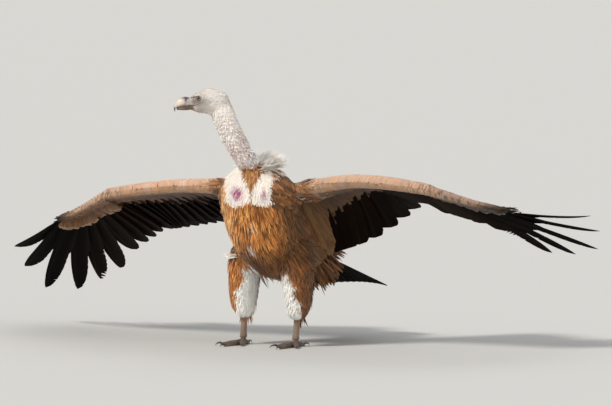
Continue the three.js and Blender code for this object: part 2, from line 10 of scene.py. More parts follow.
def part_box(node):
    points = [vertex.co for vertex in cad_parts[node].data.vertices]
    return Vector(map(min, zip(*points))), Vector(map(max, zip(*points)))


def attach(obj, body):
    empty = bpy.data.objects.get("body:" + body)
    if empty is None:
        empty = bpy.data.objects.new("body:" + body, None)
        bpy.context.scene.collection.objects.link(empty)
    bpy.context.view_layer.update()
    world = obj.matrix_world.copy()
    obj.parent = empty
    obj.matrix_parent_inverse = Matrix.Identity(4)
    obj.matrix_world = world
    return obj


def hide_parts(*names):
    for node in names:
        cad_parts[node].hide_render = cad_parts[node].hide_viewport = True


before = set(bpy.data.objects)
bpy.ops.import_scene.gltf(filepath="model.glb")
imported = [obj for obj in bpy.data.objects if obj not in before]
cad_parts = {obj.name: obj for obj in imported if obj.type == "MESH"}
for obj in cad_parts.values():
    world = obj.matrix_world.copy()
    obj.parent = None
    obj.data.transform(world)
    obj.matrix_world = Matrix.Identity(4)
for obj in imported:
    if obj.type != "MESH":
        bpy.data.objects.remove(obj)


# ---------- standpoint, floor and light ----------
# The bird stands on a plain pale floor in even studio light. It is seen from its left front,
# level with its belly, from far enough that the wings keep their true proportions.
scene = bpy.context.scene
scene.view_settings.view_transform = "Standard"
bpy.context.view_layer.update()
FOOT_REACH_BACK = 0.0563
foot_left, foot_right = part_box("foot_left"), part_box("foot_right")
home = np.array([(foot_left[0].x + foot_right[1].x) / 2, foot_left[1].y - FOOT_REACH_BACK, 0])
VIEW_TURN, VIEW_RISE = 30, 3
VIEW_DISTANCE, LENS, SENSOR = 15, 294, 36
AIM_RIGHT, AIM_UP = 0.117, 0.429


def direction(turn, rise):
    """The way out at a turn from straight ahead of the bird and a rise, both in degrees."""
    turn, rise = math.radians(turn), math.radians(rise)
    return Vector((
        math.sin(turn) * math.cos(rise),
        -math.cos(turn) * math.cos(rise),
        math.sin(rise),
    ))


look_back = direction(VIEW_TURN, VIEW_RISE)
look_right = direction(VIEW_TURN + 90, 0)
look_up = look_back.cross(look_right)
aim = Vector(home) + look_right * AIM_RIGHT + look_up * AIM_UP
bpy.ops.object.camera_add(
    location=aim + look_back * VIEW_DISTANCE,
    rotation=look_back.to_track_quat("Z", "Y").to_euler(),
)
scene.camera = bpy.context.object
scene.camera.data.lens = LENS
scene.camera.data.sensor_width = SENSOR
scene.camera.data.clip_end = 900

FLOOR_TONE = (0.545, 0.543, 0.53, 1)
BACKDROP_TONE = (0.62, 0.62, 0.60)
AMBIENT_TONE, AMBIENT = (0.95, 0.965, 0.99), 0.52
LAMP_DISTANCE = 8


def studio_floor():
    bpy.ops.mesh.primitive_circle_add(vertices=128, radius=500, fill_type="NGON")
    floor = bpy.context.object
    floor.name = "floor"
    material = bpy.data.materials.new("studio_floor")
    material.use_nodes = True
    shader = material.node_tree.nodes["Principled BSDF"]
    shader.inputs["Base Color"].default_value = FLOOR_TONE
    shader.inputs["Roughness"].default_value = 0.9
    shader.inputs["Specular IOR Level"].default_value = 0.1
    floor.data.materials.append(material)


def studio_world():
    """Even light all round; the backdrop that the camera sees has the floor's own tone."""
    world = bpy.data.worlds.new("studio")
    world.use_nodes = True
    scene.world = world
    tree = world.node_tree
    tree.nodes.clear()
    out = tree.nodes.new("ShaderNodeOutputWorld")
    mix = tree.nodes.new("ShaderNodeMixShader")
    rays = tree.nodes.new("ShaderNodeLightPath")
    for k, (tone, strength) in enumerate(((AMBIENT_TONE, AMBIENT), (BACKDROP_TONE, 1))):
        even = tree.nodes.new("ShaderNodeBackground")
        even.inputs["Color"].default_value = (*tone, 1)
        even.inputs["Strength"].default_value = strength
        tree.links.new(even.outputs[0], mix.inputs[1 + k])
    seen = rays.outputs["Is Camera Ray"]
    for kind in ("Is Glossy Ray", "Is Transmission Ray"):
        either = tree.nodes.new("ShaderNodeMath")
        either.operation = "MAXIMUM"
        tree.links.new(seen, either.inputs[0])
        tree.links.new(rays.outputs[kind], either.inputs[1])
        seen = either.outputs[0]
    tree.links.new(seen, mix.inputs["Fac"])
    tree.links.new(mix.outputs[0], out.inputs["Surface"])


def distant_lamp(name, turn, rise, softness, strength, tone):
    """A far, soft lamp, so that the floor is lit evenly."""
    way = direction(turn, rise)
    bpy.ops.object.light_add(type="SUN", location=Vector(home) + way * LAMP_DISTANCE,
                             rotation=way.to_track_quat("Z", "Y").to_euler())
    lamp = bpy.context.object
    lamp.name = name
    lamp.data.angle = math.radians(softness)
    lamp.data.energy = strength
    lamp.data.color = tone


studio_floor()
studio_world()
distant_lamp("key", -28, 44, 12, 2.55, (1.0, 0.96, 0.9))
distant_lamp("fill", 70, 25, 50, 0.7, (1.0, 0.965, 0.92))
distant_lamp("rim", 200, 40, 30, 0.5, (1.0, 0.98, 0.95))


# ---------- skin ----------
# One skin covers trunk, neck, head, thighs and the fleshy part of both wings without a seam. It
# lies under the coat by the coat's depth, and on the face it shows bare: lids, brow, cere, gape.
SKIN_GRAIN, MOST_INSET = 0.0057, 0.22
FLESH = ["trunk", "neck", "head"] + [
    f"{part}_{side}"
    for part in ("thigh", "upper_arm", "forearm", "hand")
    for side in ("left", "right")
]
HEAD_CENTRE = np.array([-84, -181, 738.0])
HEAD_TURN, HEAD_DIP = math.radians(60), math.radians(3)
head_forward = np.array([
    -math.sin(HEAD_TURN) * math.cos(HEAD_DIP),
    -math.cos(HEAD_TURN) * math.cos(HEAD_DIP),
    -math.sin(HEAD_DIP),
])
head_side = np.array([math.cos(HEAD_TURN), -math.sin(HEAD_TURN), 0])
head_up = np.cross(head_forward, head_side)
HEAD_AXES = np.stack([head_forward, head_side, head_up])
# heights where the bare neck and the head begin
NECK_FROM, HEAD_FROM = 545, 690


def unit(v):
    return v / np.maximum(np.linalg.norm(v, axis=-1, keepdims=True), 1e-12)


def ramp(x, a, b):
    """0 below a, 1 above b, smooth between them; a may be above b."""
    t = np.clip((np.asarray(x, float) - a) / (b - a), 0, 1)
    return t * t * (3 - 2 * t)


def local(points):
    """Millimetres from the point on the floor between the feet."""
    return (np.asarray(points, float) - home) * 1000


def placed(points):
    return np.asarray(points, float) / 1000 + home


def head_frame(p):
    """Local millimetres as millimetres forward, to the bird's left and up from mid-head."""
    return (p - HEAD_CENTRE) @ HEAD_AXES.T


def in_head(points):
    return head_frame(local(points))


def out_of_head(h):
    return placed(h @ HEAD_AXES + HEAD_CENTRE)


def read(rows, field, width, kind=np.float32):
    """One field of a mesh's corners, edges or faces, a row of numbers for each."""
    values = np.empty(len(rows) * width, kind)
    rows.foreach_get(field, values)
    return values.reshape(-1, width)


def corners(mesh):
    return read(mesh.vertices, "co", 3).astype(float)


def move_corners(mesh, co):
    mesh.vertices.foreach_set("co", co.astype(np.float32).ravel())
    mesh.update()


def corner_normals(mesh):
    return read(mesh.vertex_normals, "vector", 3).astype(float)


def only(piece):
    bpy.ops.object.select_all(action="DESELECT")
    piece.select_set(True)
    bpy.context.view_layer.objects.active = piece


def smooth(piece, sharp_from=None):
    """Smooth shading, which keeps edges sharper than an angle in degrees where one is given."""
    only(piece)
    if sharp_from is None:
        bpy.ops.object.shade_smooth()
    else:
        bpy.ops.object.shade_smooth_by_angle(angle=math.radians(sharp_from))


def settle(piece, finish, slot, *nodes):
    """Gives a finished piece its material, hangs it from the root and hides the nodes that it
    stands for; slot is not used.
    """
    piece.data.materials.append(finish)
    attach(piece, "root")
    if nodes:
        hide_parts(*nodes)


def copy_of(name, *nodes):
    """A new piece with the shape of these CAD nodes, its loose corners merged."""
    bpy.ops.object.select_all(action="DESELECT")
    for node in nodes:
        part = bpy.data.objects.new(name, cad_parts[node].data.copy())
        scene.collection.objects.link(part)
        part.select_set(True)
        bpy.context.view_layer.objects.active = part
    if len(nodes) > 1:
        bpy.ops.object.join()
    piece = bpy.context.object
    piece.data.materials.clear()
    bpy.ops.mesh.customdata_custom_splitnormals_clear()
    for layer in list(piece.data.uv_layers):
        piece.data.uv_layers.remove(layer)
    bpy.ops.object.mode_set(mode="EDIT")
    bpy.ops.mesh.select_all(action="SELECT")
    bpy.ops.mesh.remove_doubles(threshold=0.00002)
    bpy.ops.object.mode_set(mode="OBJECT")
    piece.name = piece.data.name = name
    return piece


def finish_with(piece, kind, **settings):
    only(piece)
    modifier = piece.modifiers.new(kind.lower(), kind)
    for key, value in settings.items():
        setattr(modifier, key, value)
    bpy.ops.object.modifier_apply(modifier=modifier.name)


def blurred(mesh, value, rounds, weight=0.5):
    """A value at each corner, evened out over its neighbours."""
    a, b = read(mesh.edges, "vertices", 2, np.int32).T
    n = len(value)
    count = np.maximum(np.bincount(a, minlength=n) + np.bincount(b, minlength=n), 1)
    for _ in range(rounds):
        total = np.bincount(a, value[b], n) + np.bincount(b, value[a], n)
        value = value + weight * (total / count - value)
    return value


def relax(piece, rounds, share=1.0):
    """Rounds off facets without shrinking: one pull inwards and one push back in each round."""
    co = corners(piece.data)
    for _ in range(rounds):
        for pull in (0.5, -0.53):
            for k in range(3):
                moved = blurred(piece.data, co[:, k], 1, pull)
                co[:, k] += share * (moved - co[:, k])
    move_corners(piece.data, co)


def refine(piece, chosen):
    """Divides the faces whose middle is chosen, then rounds off the new corners."""
    mesh = piece.data
    only(piece)
    take = chosen(read(mesh.polygons, "center", 3).astype(float))
    for parts in (mesh.vertices, mesh.edges):
        parts.foreach_set("select", np.zeros(len(parts), bool))
    mesh.polygons.foreach_set("select", take)
    bpy.ops.object.mode_set(mode="EDIT")
    bpy.ops.mesh.select_mode(type="FACE")
    bpy.ops.mesh.subdivide()
    bpy.ops.object.mode_set(mode="OBJECT")
    relax(piece, 4, chosen(corners(mesh)).astype(float))


def skin_depth(p):
    """How far the skin lies under the outline, in millimetres, by place."""
    x, z = np.abs(p[:, 0]), p[:, 2]
    depth = np.full(len(p), 10.0)
    depth = depth + (3.0 - depth) * ramp(z, 525, 560)
    depth = depth + (1.2 - depth) * ramp(z, HEAD_FROM, 715)
    face = 1 - 0.7 * ramp(head_frame(p)[:, 0], 5, 45)
    depth = np.where(z > HEAD_FROM, depth * face, depth)
    depth = depth + (3.5 - depth) * ramp(x, 100, 145)
    return np.where((z < 110) & (x < 150), 7.0, depth)


def skin_base():
    piece = copy_of("skin", *FLESH)
    finish_with(piece, "REMESH", mode="VOXEL", voxel_size=SKIN_GRAIN)
    relax(piece, 14)
    co, n = corners(piece.data), corner_normals(piece.data)
    tree = BVHTree.FromObject(piece, bpy.context.evaluated_depsgraph_get())
    room = np.array([
        tree.ray_cast(Vector(p - m * 4e-4), Vector(-m))[3] or 1.0
        for p, m in zip(co, n)
    ])
    inward = np.minimum(skin_depth(local(co)) / 1000, MOST_INSET * room)
    inward = blurred(piece.data, inward, 4)
    move_corners(piece.data, co - n * inward[:, None])
    relax(piece, 3)
    return piece


skin = skin_base()
refine(skin, lambda p: (local(p)[:, 2] > NECK_FROM) & (np.abs(local(p)[:, 0] + 60) < 110))
refine(skin, lambda p: (local(p)[:, 2] > HEAD_FROM) & (in_head(p)[:, 0] > -8))
EYE = {"forward": 38.2, "up": 13.2, "side": 21.4, "radius": 8.6}


def from_eye(h):
    """Forward and up from the eye's middle, and the distance from its axis."""
    df, du = h[:, 0] - EYE["forward"], h[:, 2] - EYE["up"]
    return df, du, np.hypot(df, du)


def fine_face(points):
    """The bill's root and the ring round each eye."""
    h = in_head(points)
    f = h[:, 0]
    return (local(points)[:, 2] > HEAD_FROM) & ((f > 58) | ((from_eye(h)[2] < 17) & (f > 20)))


refine(skin, fine_face)


def hill(x, y, wide, tall):
    return np.exp(-((x / wide) ** 2) - (y / tall) ** 2)


BROW = {"from": 28, "to": 64, "height": 2.6, "thick": 2.5}
LID_GAP = (4.9, 3.4)


def gape_line(f):
    """Height of the gape, which runs back under the eye and turns down."""
    return -8.0 - 0.012 * np.clip(72 - f, 0, 60) ** 1.5


def sculpt_face(piece):
    """Brow, eye sockets, lids, hollow lores, nostrils, gape and ear, in head millimetres."""
    co = corners(piece.data)
    near = np.where(local(co)[:, 2] > HEAD_FROM)[0]
    h = in_head(co[near])
    n = corner_normals(piece.data)[near] @ HEAD_AXES.T
    f, s, u = h.T
    flank = ramp(np.abs(s), 7, 13)
    out = np.sign(s)[:, None] * [0, 1, 0]
    # brow ridge, a little overhung, fading towards the bill and behind the eye
    brow_line = 20.4 - 0.1 * (f - 38)
    along = ramp(f, BROW["from"] - 8, BROW["from"] + 4) * ramp(f, BROW["to"] + 4, BROW["to"] - 10)
    rise = BROW["height"] * along * hill(0, u - brow_line, 1, BROW["thick"])
    # the eye lies in a shallow socket that runs forward into the hollow lore
    rise -= 1.6 * hill(f - EYE["forward"], u - EYE["up"], 12, 8.5)
    rise -= 1.5 * hill(f - 54, u - 9, 9, 7)
    # a full cheek behind the gape, and a crease under the lower lid
    rise += 1.4 * hill(f - 26, u + 8, 15, 12)
    rise -= 0.7 * hill(f - 38, u - 2.2, 12, 1.8)
    # cere: swollen rim, and an upright slit of a nostril
    rise += 0.9 * ramp(f, 62, 70)
    rise -= 0.9 * hill(f - 63, 0, 1.8, 1)
    nostril = hill(f - 73.2 - 0.12 * (u - 6), u - 6, 1.7, 4.6)
    rise -= 3.2 * nostril * ramp(np.abs(s), 5, 9)
    # the gape's crease, and the fold of skin over it
    above_gape = u - gape_line(f)
    rise -= 1.7 * hill(0, above_gape, 1, 1.1) * ramp(f, 40, 50)
    rise += 0.7 * hill(0, above_gape - 3.2, 1, 1.8) * ramp(f, 42, 52)
    # ear opening, low behind the eye
    rise -= 2.2 * hill(f - 4, u + 4, 4.2, 5.5)
    h = h + out * (rise * flank)[:, None]
    # the nape swells where the neck's down begins
    nape = 4.5 * hill(f + 50, u + 12, 16, 16) * ramp(np.abs(s), 24, 14)
    h = h + n * nape[:, None]
    # fine wrinkles round the eye and lore
    df, du, r = from_eye(h)
    fold = np.sin(r * 1.55 + 0.5 * np.sin(np.arctan2(du, df) * 5))
    h += n * (0.28 * fold * hill(r - 15, 0, 7, 1) * flank)[:, None]
    # lids: skin drawn over the eyeball, open in an almond with a thick rim
    df, du, r = from_eye(h)
    gap = np.hypot(df / LID_GAP[0], (du - 0.12 * df) / LID_GAP[1])
    ball = EYE["radius"]
    rim = np.where(gap < 1.0, ball - 2.2, ball + 0.35 + 0.75 * ramp(gap, 1.0, 1.25))
    lid = EYE["side"] + np.sqrt(np.maximum(rim**2 - r**2, 0))
    side = np.abs(h[:, 1])
    weight = ramp(r, 11.5, 7.6) * (side - EYE["side"] > -8)
    side += weight * (np.where(gap < 1.0, lid, np.maximum(lid, side - 3)) - side)
    h[:, 1] = np.sign(h[:, 1]) * side
    co[near] = out_of_head(h)
    move_corners(piece.data, co)


sculpt_face(skin)
smooth(skin)


def paint(*codes):
    """Colours written as #rrggbb, as the linear values that a shader takes."""
    rows = []
    for code in codes:
        c = np.array([int(code[i : i + 2], 16) / 255 for i in (1, 3, 5)])
        rows.append(np.where(c <= 0.04045, c / 12.92, ((c + 0.055) / 1.055) ** 2.4))
    return np.array(rows) if len(rows) > 1 else rows[0]


def wander(p, size, seed):
    """Smooth noise from -1 to 1 at points in millimetres, in patches about `size` across."""
    draw = np.random.default_rng(seed)
    total = np.zeros(len(p))
    for _ in range(7):
        way = draw.normal(size=3)
        way *= draw.uniform(0.6, 1.6) / np.linalg.norm(way) * 2 * math.pi / (2 * size)
        total += np.sin(p @ way + draw.uniform(0, 6.28))
    return total / 3.2


def blend(base, tone, share):
    return base + (np.asarray(tone) - base) * np.asarray(share)[..., None]


def plain(tone, count):
    return np.tile(tone, (count, 1))


def layered(tone, *layers):
    """A tone with (colour, share) layers laid over it in turn."""
    for colour, share in layers:
        tone = blend(tone, colour, share)
    return tone


# the flank and belly tones are the bird's own browns, made darker as painted shade
BREAST, BREAST_DEEP, SHADED_FLANK, SHADED_BELLY = paint("#ec9f55", "#b26c33", "#75502e", "#55361b")
MANTLE, TAN_PANEL, CROP_WHITE, CROP_BARE = paint("#8d6b4a", "#8f6a42", "#fbf1e8", "#bd7895")
VEE, NECK_CREAM, NECK_BARE, NECK_REAR = paint("#b8834f", "#f9efe8", "#c398a0", "#d8d4d3")
HEAD_DOWN, FACE_BARE, BROW_SHADE, CERE = paint("#e2dcd5", "#796a62", "#40362f", "#a7a09e")
CERE_DARK, GAPE, CHIN_WARM = paint("#41454f", "#7d6450", "#b39880")
LEG_WHITE, LEG_BROWN, LEG_BROWN_DEEP = paint("#fffaf2", "#d08a4b", "#77502e")
# the last of these is painted light, for the lit side of the breast
WING_LEAD, WING_LEAD_GREY, BREAST_PAINTED_LIGHT = paint("#7d5f48", "#6e5a4a", "#fbbd7c")
# the breast parts a little to the left of the middle, where the crop bulges
PART_X = 28


def to_the_right(p):
    """Sideways place as seen from the standpoint, in millimetres."""
    return 0.866 * p[..., 0] + 0.5 * p[..., 1]


def across_breast(p):
    """Sideways place on the breast as its feathers part, in millimetres."""
    return to_the_right(p) - 0.866 * PART_X + 75


def behind_neck(p):
    """Distance towards the rear of the neck, square to it."""
    return (p - np.array([-5, -112, 552])) @ np.array([0.86, 0.5, 0.28])


def leg_white(p):
    """1 where the leg has white down, 0 where it has brown feathers."""
    z, side = p[:, 2], np.sign(p[:, 0])
    dx, dy = (p[:, 0] - side * 88) * side, p[:, 1] - 24
    turn = np.degrees(np.arctan2(dx, -dy))
    right = -26 + 34 * ramp(z, 204, 164) + 15 * ramp(z, 160, 100)
    left = -14 + 62 * ramp(z, 260, 110)
    edge = np.where(side > 0, left, right) + 7 * wander(p, 16, 3)
    front = ramp(turn, edge + 7, edge - 7) * np.where(side > 0, ramp(z, 242, 224), 1)
    return front * ramp(turn, -165, -140)


def neck_bare(p):
    """Where skin shows between the tufts of the neck, most on the lower front."""
    low = hill(p[:, 2] - 588, 0, 40, 1) * ramp(p[:, 0] + 0.9 * p[:, 1], -95, -135)
    return ramp(0.7 * wander(p, 5, 6) + 0.5 * wander(p, 11, 7) + 1.1 * low, 0.4, 1.3)


def trunk_tone(p):
    """Breast, belly, flanks and mantle, with painted light on the breast and painted shade on flank
    and belly, and the two white lobes of the crop.
    """
    x, y, z = p.T
    w, wide, n = across_breast(p), np.abs(x), len(p)
    scruff, near = wander(p, 5, 13), 1.2 * hill(w - 86, z - 514, 17, 22)
    # the lobes are parted by a brown wedge, and each has a bare spot
    edge = 3.5 * wander(p, 14, 5)
    gap = w - 3 - 0.1 * (z - 469) * ramp(z, 459, 477)
    top = np.where(gap < 0, 556, 540)
    lobes = ramp(w + edge, -74, -67) * ramp(w + edge, 69, 62) * ramp(z, top, top - 9)
    foot_line = 428 + 0.011 * (np.abs(gap + 1.5) - 38) ** 2
    white = lobes * ramp(z - foot_line + edge, -4, 4) * ramp(y, 20, -20)
    wedge = 1.4 + 29 * (np.clip(z - 467, 0, 80) / 62) ** 1.3
    bare = hill(w + 35, z - 467, 14, 14) + 0.75 * hill(w - 41, z - 467, 6, 13)
    spots = 1.7 * hill(w + 3, z - 312, 8, 11) + 0.8 * hill(w - 1, z - 378, 5, 9)
    return layered(
        plain(BREAST, n),
        (BREAST_DEEP, np.clip(0.5 + 0.5 * wander(p, 30, 1), 0, 1)),
        (SHADED_BELLY, 0.5 * ramp(wander(p, 9, 12), 0.25, 0.9)),
        # painted light: the breast is lighter on its side towards the key lamp, left in the view
        (BREAST_PAINTED_LIGHT, 0.6 * ramp(w, -15, -75) * ramp(z, 250, 300)),
        # painted shade: the flank turned away from the light is darker
        (SHADED_FLANK, ramp(w, 55, 115)),
        (SHADED_BELLY, 0.4 * ramp(z, 560, 480) * ramp(wide, 92, 112) * ramp(y, 10, -60)),
        (SHADED_FLANK, ramp(x, -60, -112) * ramp(y, -100, -40)),
        # darker towards the bottom: the belly's own dark brown, and painted shade on the underside
        (SHADED_BELLY, ramp(z, 330, 265) * 0.85),
        (MANTLE, ramp(y * 0.62 + z, 470, 530) * ramp(y, -70, 0)),
        (BROW_SHADE, near * ramp(scruff, 0.05, 0.3)),
        (CROP_WHITE, near * ramp(scruff, -0.2, -0.4)),
        (TAN_PANEL, ramp(x, 80, 100) * hill(y - 120, z - 350, 70, 75)),
        (CROP_WHITE, white),
        (VEE, ramp(np.abs(gap) - wedge, 2, -2) * white),
        (CROP_BARE, white * np.clip(bare * (1.25 + 0.4 * wander(p, 6, 10)), 0, 1)),
        (CROP_WHITE, np.clip(spots, 0, 1) * ramp(y, -25, -50)),
    )


def neck_tone(p):
    """Creamy down with bare skin between its tufts and patches of painted shade among them, greyer
    behind, brown where it starts.
    """
    y, z = p[:, 1], p[:, 2]
    # painted shade in patches among the tufts, fading out towards the head
    tuft_shade = 0.16 * ramp(wander(p, 3.6, 9), 0.1, 0.8) * ramp(z, 712, 668)
    down = layered(
        plain(NECK_CREAM, len(p)),
        (NECK_BARE, 0.4 * neck_bare(p)),
        (NECK_REAR, 0.55 * ramp(behind_neck(p), 6, 24)),
    )
    root = ramp(z, 556, 540) * ramp(y, -85, -105) * ramp(across_breast(p), -24, -14)
    return blend(down * (1 - tuft_shade)[:, None], VEE, 0.6 * root)


def face_tone(h):
    """White down, lighter on the lower head as painted light; darker bare skin round eye and lore,
    grey cere, dark lids and gape, and painted shade under the brow, in the nostril and in the
    gape's crease.
    """
    f, _, u = h.T
    df, du, r = from_eye(h)
    fold = np.sin(r * 0.95 + 1.3 * np.sin(np.arctan2(du, df) * 4))
    wrinkles = 0.42 * ramp(fold, 0.1, 0.8) * hill(r - 14, 0, 8, 1)
    # painted shadow cast by the brow ridge, just under it
    brow_shadow = 0.92 * hill(0, u - 17.6 + 0.14 * (f - 38), 1, 2.3)
    above_gape = u - gape_line(f)
    face = layered(
        plain(HEAD_DOWN, len(h)),
        (CHIN_WARM, 0.5 * ramp(u, -13, -24) * ramp(f, 0, 26)),
        # painted light: the lower head is lighter, to make up for the shade that falls on it
        (CROP_WHITE, 0.7 * ramp(u, 6, -12) * ramp(f, 40, 20)),
        (FACE_BARE, 0.95 * hill(f - 52, u - 2, 14, 15)),
        (FACE_BARE, 0.65 * hill(f - 36, u - 3, 17, 13)),
        (FACE_BARE, 0.35 * hill(f - 20, u + 5, 18, 15)),
    )
    return layered(
        face * (1 - wrinkles)[:, None],
        (BROW_SHADE, brow_shadow * ramp(f, 32, 38) * ramp(f, 66, 58)),
        (BROW_SHADE, 0.65 * ramp(r, 6.9, 5.2)),
        (CERE, ramp(f, 60, 66)),
        (CERE_DARK, 0.9 * ramp(f, 65, 69) * ramp(u, 8, 12.5)),
        # painted shade in the slit of the nostril
        (CERE_DARK, 0.9 * hill(f - 76, u - 8.5, 2.6, 7)),
        (GAPE, ramp(f, 50, 58) * ramp(above_gape, 3, -1)),
        (BROW_SHADE, 0.7 * hill(0, above_gape, 1, 1.3) * ramp(f, 42, 50)),
    )


def coat_tone(p):
    """The colour of skin and coat at places on the bird given in local millimetres."""
    x, _, z = p.T
    wide, n = np.abs(x), len(p)
    thigh = ramp(z, 285, 262) * ramp(wide, 34, 44) * ramp(wide, 160, 145)
    leg = layered(
        plain(LEG_BROWN, n),
        (LEG_BROWN_DEEP, ramp(x, -20, 60)),
        (BREAST_DEEP, 0.3 + 0.3 * wander(p, 20, 8)),
        (LEG_WHITE, leg_white(p)),
    )
    wing = layered(
        plain(WING_LEAD, n),
        (WING_LEAD_GREY, 0.4 + 0.4 * wander(p, 60, 4)),
        (BROW_SHADE, ramp(np.where(x > 0, x + 80, -x), 720, 780)),
    )
    tone = layered(
        trunk_tone(p),
        (leg, thigh),
        (wing, ramp(wide, 118, 150)),
        (neck_tone(p), ramp(z, 535, 552) * ramp(np.abs(x + 50), 130, 100)),
        (face_tone(head_frame(p)), ramp(z, 700, 716)),
    )
    return np.clip(tone, 0.002, 1)


def put(mesh, name, kind, values):
    layer = mesh.attributes.new(name, kind, "POINT")
    field = {"FLOAT_COLOR": "color", "FLOAT_VECTOR": "vector", "FLOAT": "value"}[kind]
    layer.data.foreach_set(field, np.ascontiguousarray(values, np.float32).ravel())


def put_tone(mesh, rgb):
    put(mesh, "tone", "FLOAT_COLOR", np.column_stack([rgb, np.ones(len(rgb))]))


put_tone(skin.data, coat_tone(local(corners(skin.data))))
bpy.ops.object.mode_set(mode="EDIT")
bpy.ops.mesh.select_all(action="SELECT")
bpy.ops.uv.smart_project(angle_limit=math.radians(66), island_margin=0.002)
bpy.ops.object.mode_set(mode="OBJECT")
skin.data.uv_layers[0].name = "OFBake"


# tries for each cell of the scatter, and the square of the least gap, in cells
TRIES, CLOSEST = 4.5, 0.72


class Ground:
    """The finished skin, for finding the nearest place on it and that place on its unwrap."""

    def __init__(self, piece):
        mesh = piece.data
        mesh.calc_loop_triangles()
        self.tri = read(mesh.loop_triangles, "vertices", 3, np.int32)
        uv = read(mesh.uv_layers["OFBake"].uv, "vector", 2)
        self.uv = uv[read(mesh.loop_triangles, "loops", 3, np.int32)]
        self.co, self.normal = corners(mesh), corner_normals(mesh)
        self.tree = BVHTree.FromPolygons(self.co.tolist(), self.tri.tolist())

    def nearest(self, points):
        """Nearest places, smooth normals there, and triangles they lie in."""
        hits = [self.tree.find_nearest(Vector(p)) for p in points]
        at = np.array([h[0] for h in hits])
        face = np.array([h[2] for h in hits])
        weight = self.shares(at, face)
        return at, unit((self.normal[self.tri[face]] * weight[..., None]).sum(1)), face

    def shares(self, at, face):
        a, b, c = (self.co[self.tri[face][:, k]] for k in range(3))
        n = np.cross(b - a, c - a)
        size = np.maximum((n * n).sum(1), 1e-20)
        wb = (np.cross(at - a, c - a) * n).sum(1) / size
        wc = (np.cross(b - a, at - a) * n).sum(1) / size
        return np.clip(np.stack([1 - wb - wc, wb, wc], 1), 0, 1)

    def unwrap(self, points):
        at, _, face = self.nearest(points)
        return (self.uv[face] * self.shares(at, face)[..., None]).sum(1)

    def scatter(self, spacing, keep, seed):
        """Seeded places on the skin where keep(local mm) is true, about `spacing` mm apart."""
        draw = np.random.default_rng(seed)
        a, b, c = (self.co[self.tri[:, k]] for k in range(3))
        area = np.linalg.norm(np.cross(b - a, c - a), axis=1) / 2
        area = area * keep(local((a + b + c) / 3))
        cell_size = spacing / 1000
        count = int(area.sum() / cell_size**2 * TRIES)
        face = draw.choice(len(area), count, p=area / area.sum())
        r1, r2 = draw.random((2, count))
        flip = r1 + r2 > 1
        r1[flip], r2[flip] = 1 - r1[flip], 1 - r2[flip]
        share = np.stack([1 - r1 - r2, r1, r2], 1)[..., None]
        at = (np.stack([a[face], b[face], c[face]], 1) * share).sum(1)
        # a place is kept where its own cell is free and no neighbour's is too near
        taken, kept = {}, []
        cells = np.floor(at / cell_size).astype(int)
        around = list(itertools.product((-1, 0, 1), repeat=3))
        nearest = cell_size * cell_size * CLOSEST
        for number, ((x, y, z), (i, j, k)) in enumerate(zip(at.tolist(), cells.tolist())):
            others = (taken.get((i + di, j + dj, k + dk)) for di, dj, dk in around)
            close = any(
                o and (o[0] - x) ** 2 + (o[1] - y) ** 2 + (o[2] - z) ** 2 < nearest
                for o in others
            )
            if not close and (i, j, k) not in taken:
                taken[i, j, k] = (x, y, z)
                kept.append(number)
        normal = (self.normal[self.tri[face[kept]]] * share[kept]).sum(1)
        return at[kept], unit(normal)


ground = Ground(skin)


# materials read the tone laid on each piece, and vary it at the scale of the real thing
def new_group(name, inputs, outputs):
    tree = bpy.data.node_groups.new(name, "ShaderNodeTree")
    for label, kind, value in inputs:
        socket = tree.interface.new_socket(label, in_out="INPUT", socket_type=kind)
        if value is not None:
            socket.default_value = value
    for label, kind in outputs:
        tree.interface.new_socket(label, in_out="OUTPUT", socket_type=kind)
    return tree, tree.nodes.new("NodeGroupInput"), tree.nodes.new("NodeGroupOutput")


def node(tree, kind, **settings):
    made = tree.nodes.new("ShaderNode" + kind)
    for key, value in settings.items():
        if key in made.bl_rna.properties:
            setattr(made, key, value)
        else:
            made.inputs[key.replace("_", " ")].default_value = value
    return made


def maths(tree, operation, a, b, c=None):
    made = tree.nodes.new("ShaderNodeMath")
    made.operation = operation
    for socket, value in zip(made.inputs, (a, b, c)):
        if isinstance(value, bpy.types.NodeSocket):
            tree.links.new(value, socket)
        elif value is not None:
            socket.default_value = value
    return made.outputs[0]


def mixed(tree, share, a, b, mode="MIX"):
    made = node(tree, "Mix", data_type="RGBA", blend_type=mode)
    for socket, value in ((made.inputs[0], share), (made.inputs[6], a), (made.inputs[7], b)):
        if isinstance(value, bpy.types.NodeSocket):
            tree.links.new(value, socket)
        else:
            socket.default_value = value
    return made.outputs[2]


def shaded(tree, tone, gain):
    """A tone made lighter or darker by a value."""
    grey = node(tree, "CombineXYZ")
    for socket in grey.inputs:
        tree.links.new(gain, socket)
    return mixed(tree, 1.0, tone, grey.outputs[0], "MULTIPLY")


def mottle_group():
    """Soft patches of lighter and darker tone, and fine grain, on Object coordinates."""
    tree, into, out = new_group(
        "mottle",
        [("Tone", "NodeSocketColor", (0.5, 0.5, 0.5, 1)), ("Patch Scale", "NodeSocketFloat", 40),
         ("Grain Scale", "NodeSocketFloat", 700), ("Strength", "NodeSocketFloat", 0.25)],
        [("Tone", "NodeSocketColor"), ("Height", "NodeSocketFloat")],
    )
    place = node(tree, "TexCoord")
    patch = node(tree, "TexNoise", Detail=3.0)
    grain = node(tree, "TexNoise", Detail=4.0, Roughness=0.65)
    for noise, scale in ((patch, "Patch Scale"), (grain, "Grain Scale")):
        tree.links.new(place.outputs["Object"], noise.inputs["Vector"])
        tree.links.new(into.outputs[scale], noise.inputs["Scale"])
    both = maths(tree, "ADD", patch.outputs["Fac"], grain.outputs["Fac"])
    swing = maths(tree, "SUBTRACT", both, 1.0)
    gain = maths(tree, "MULTIPLY_ADD", swing, into.outputs["Strength"], 1.0)
    tree.links.new(shaded(tree, into.outputs["Tone"], gain), out.inputs["Tone"])
    tree.links.new(grain.outputs["Fac"], out.inputs["Height"])
    return tree


MOTTLE = mottle_group()


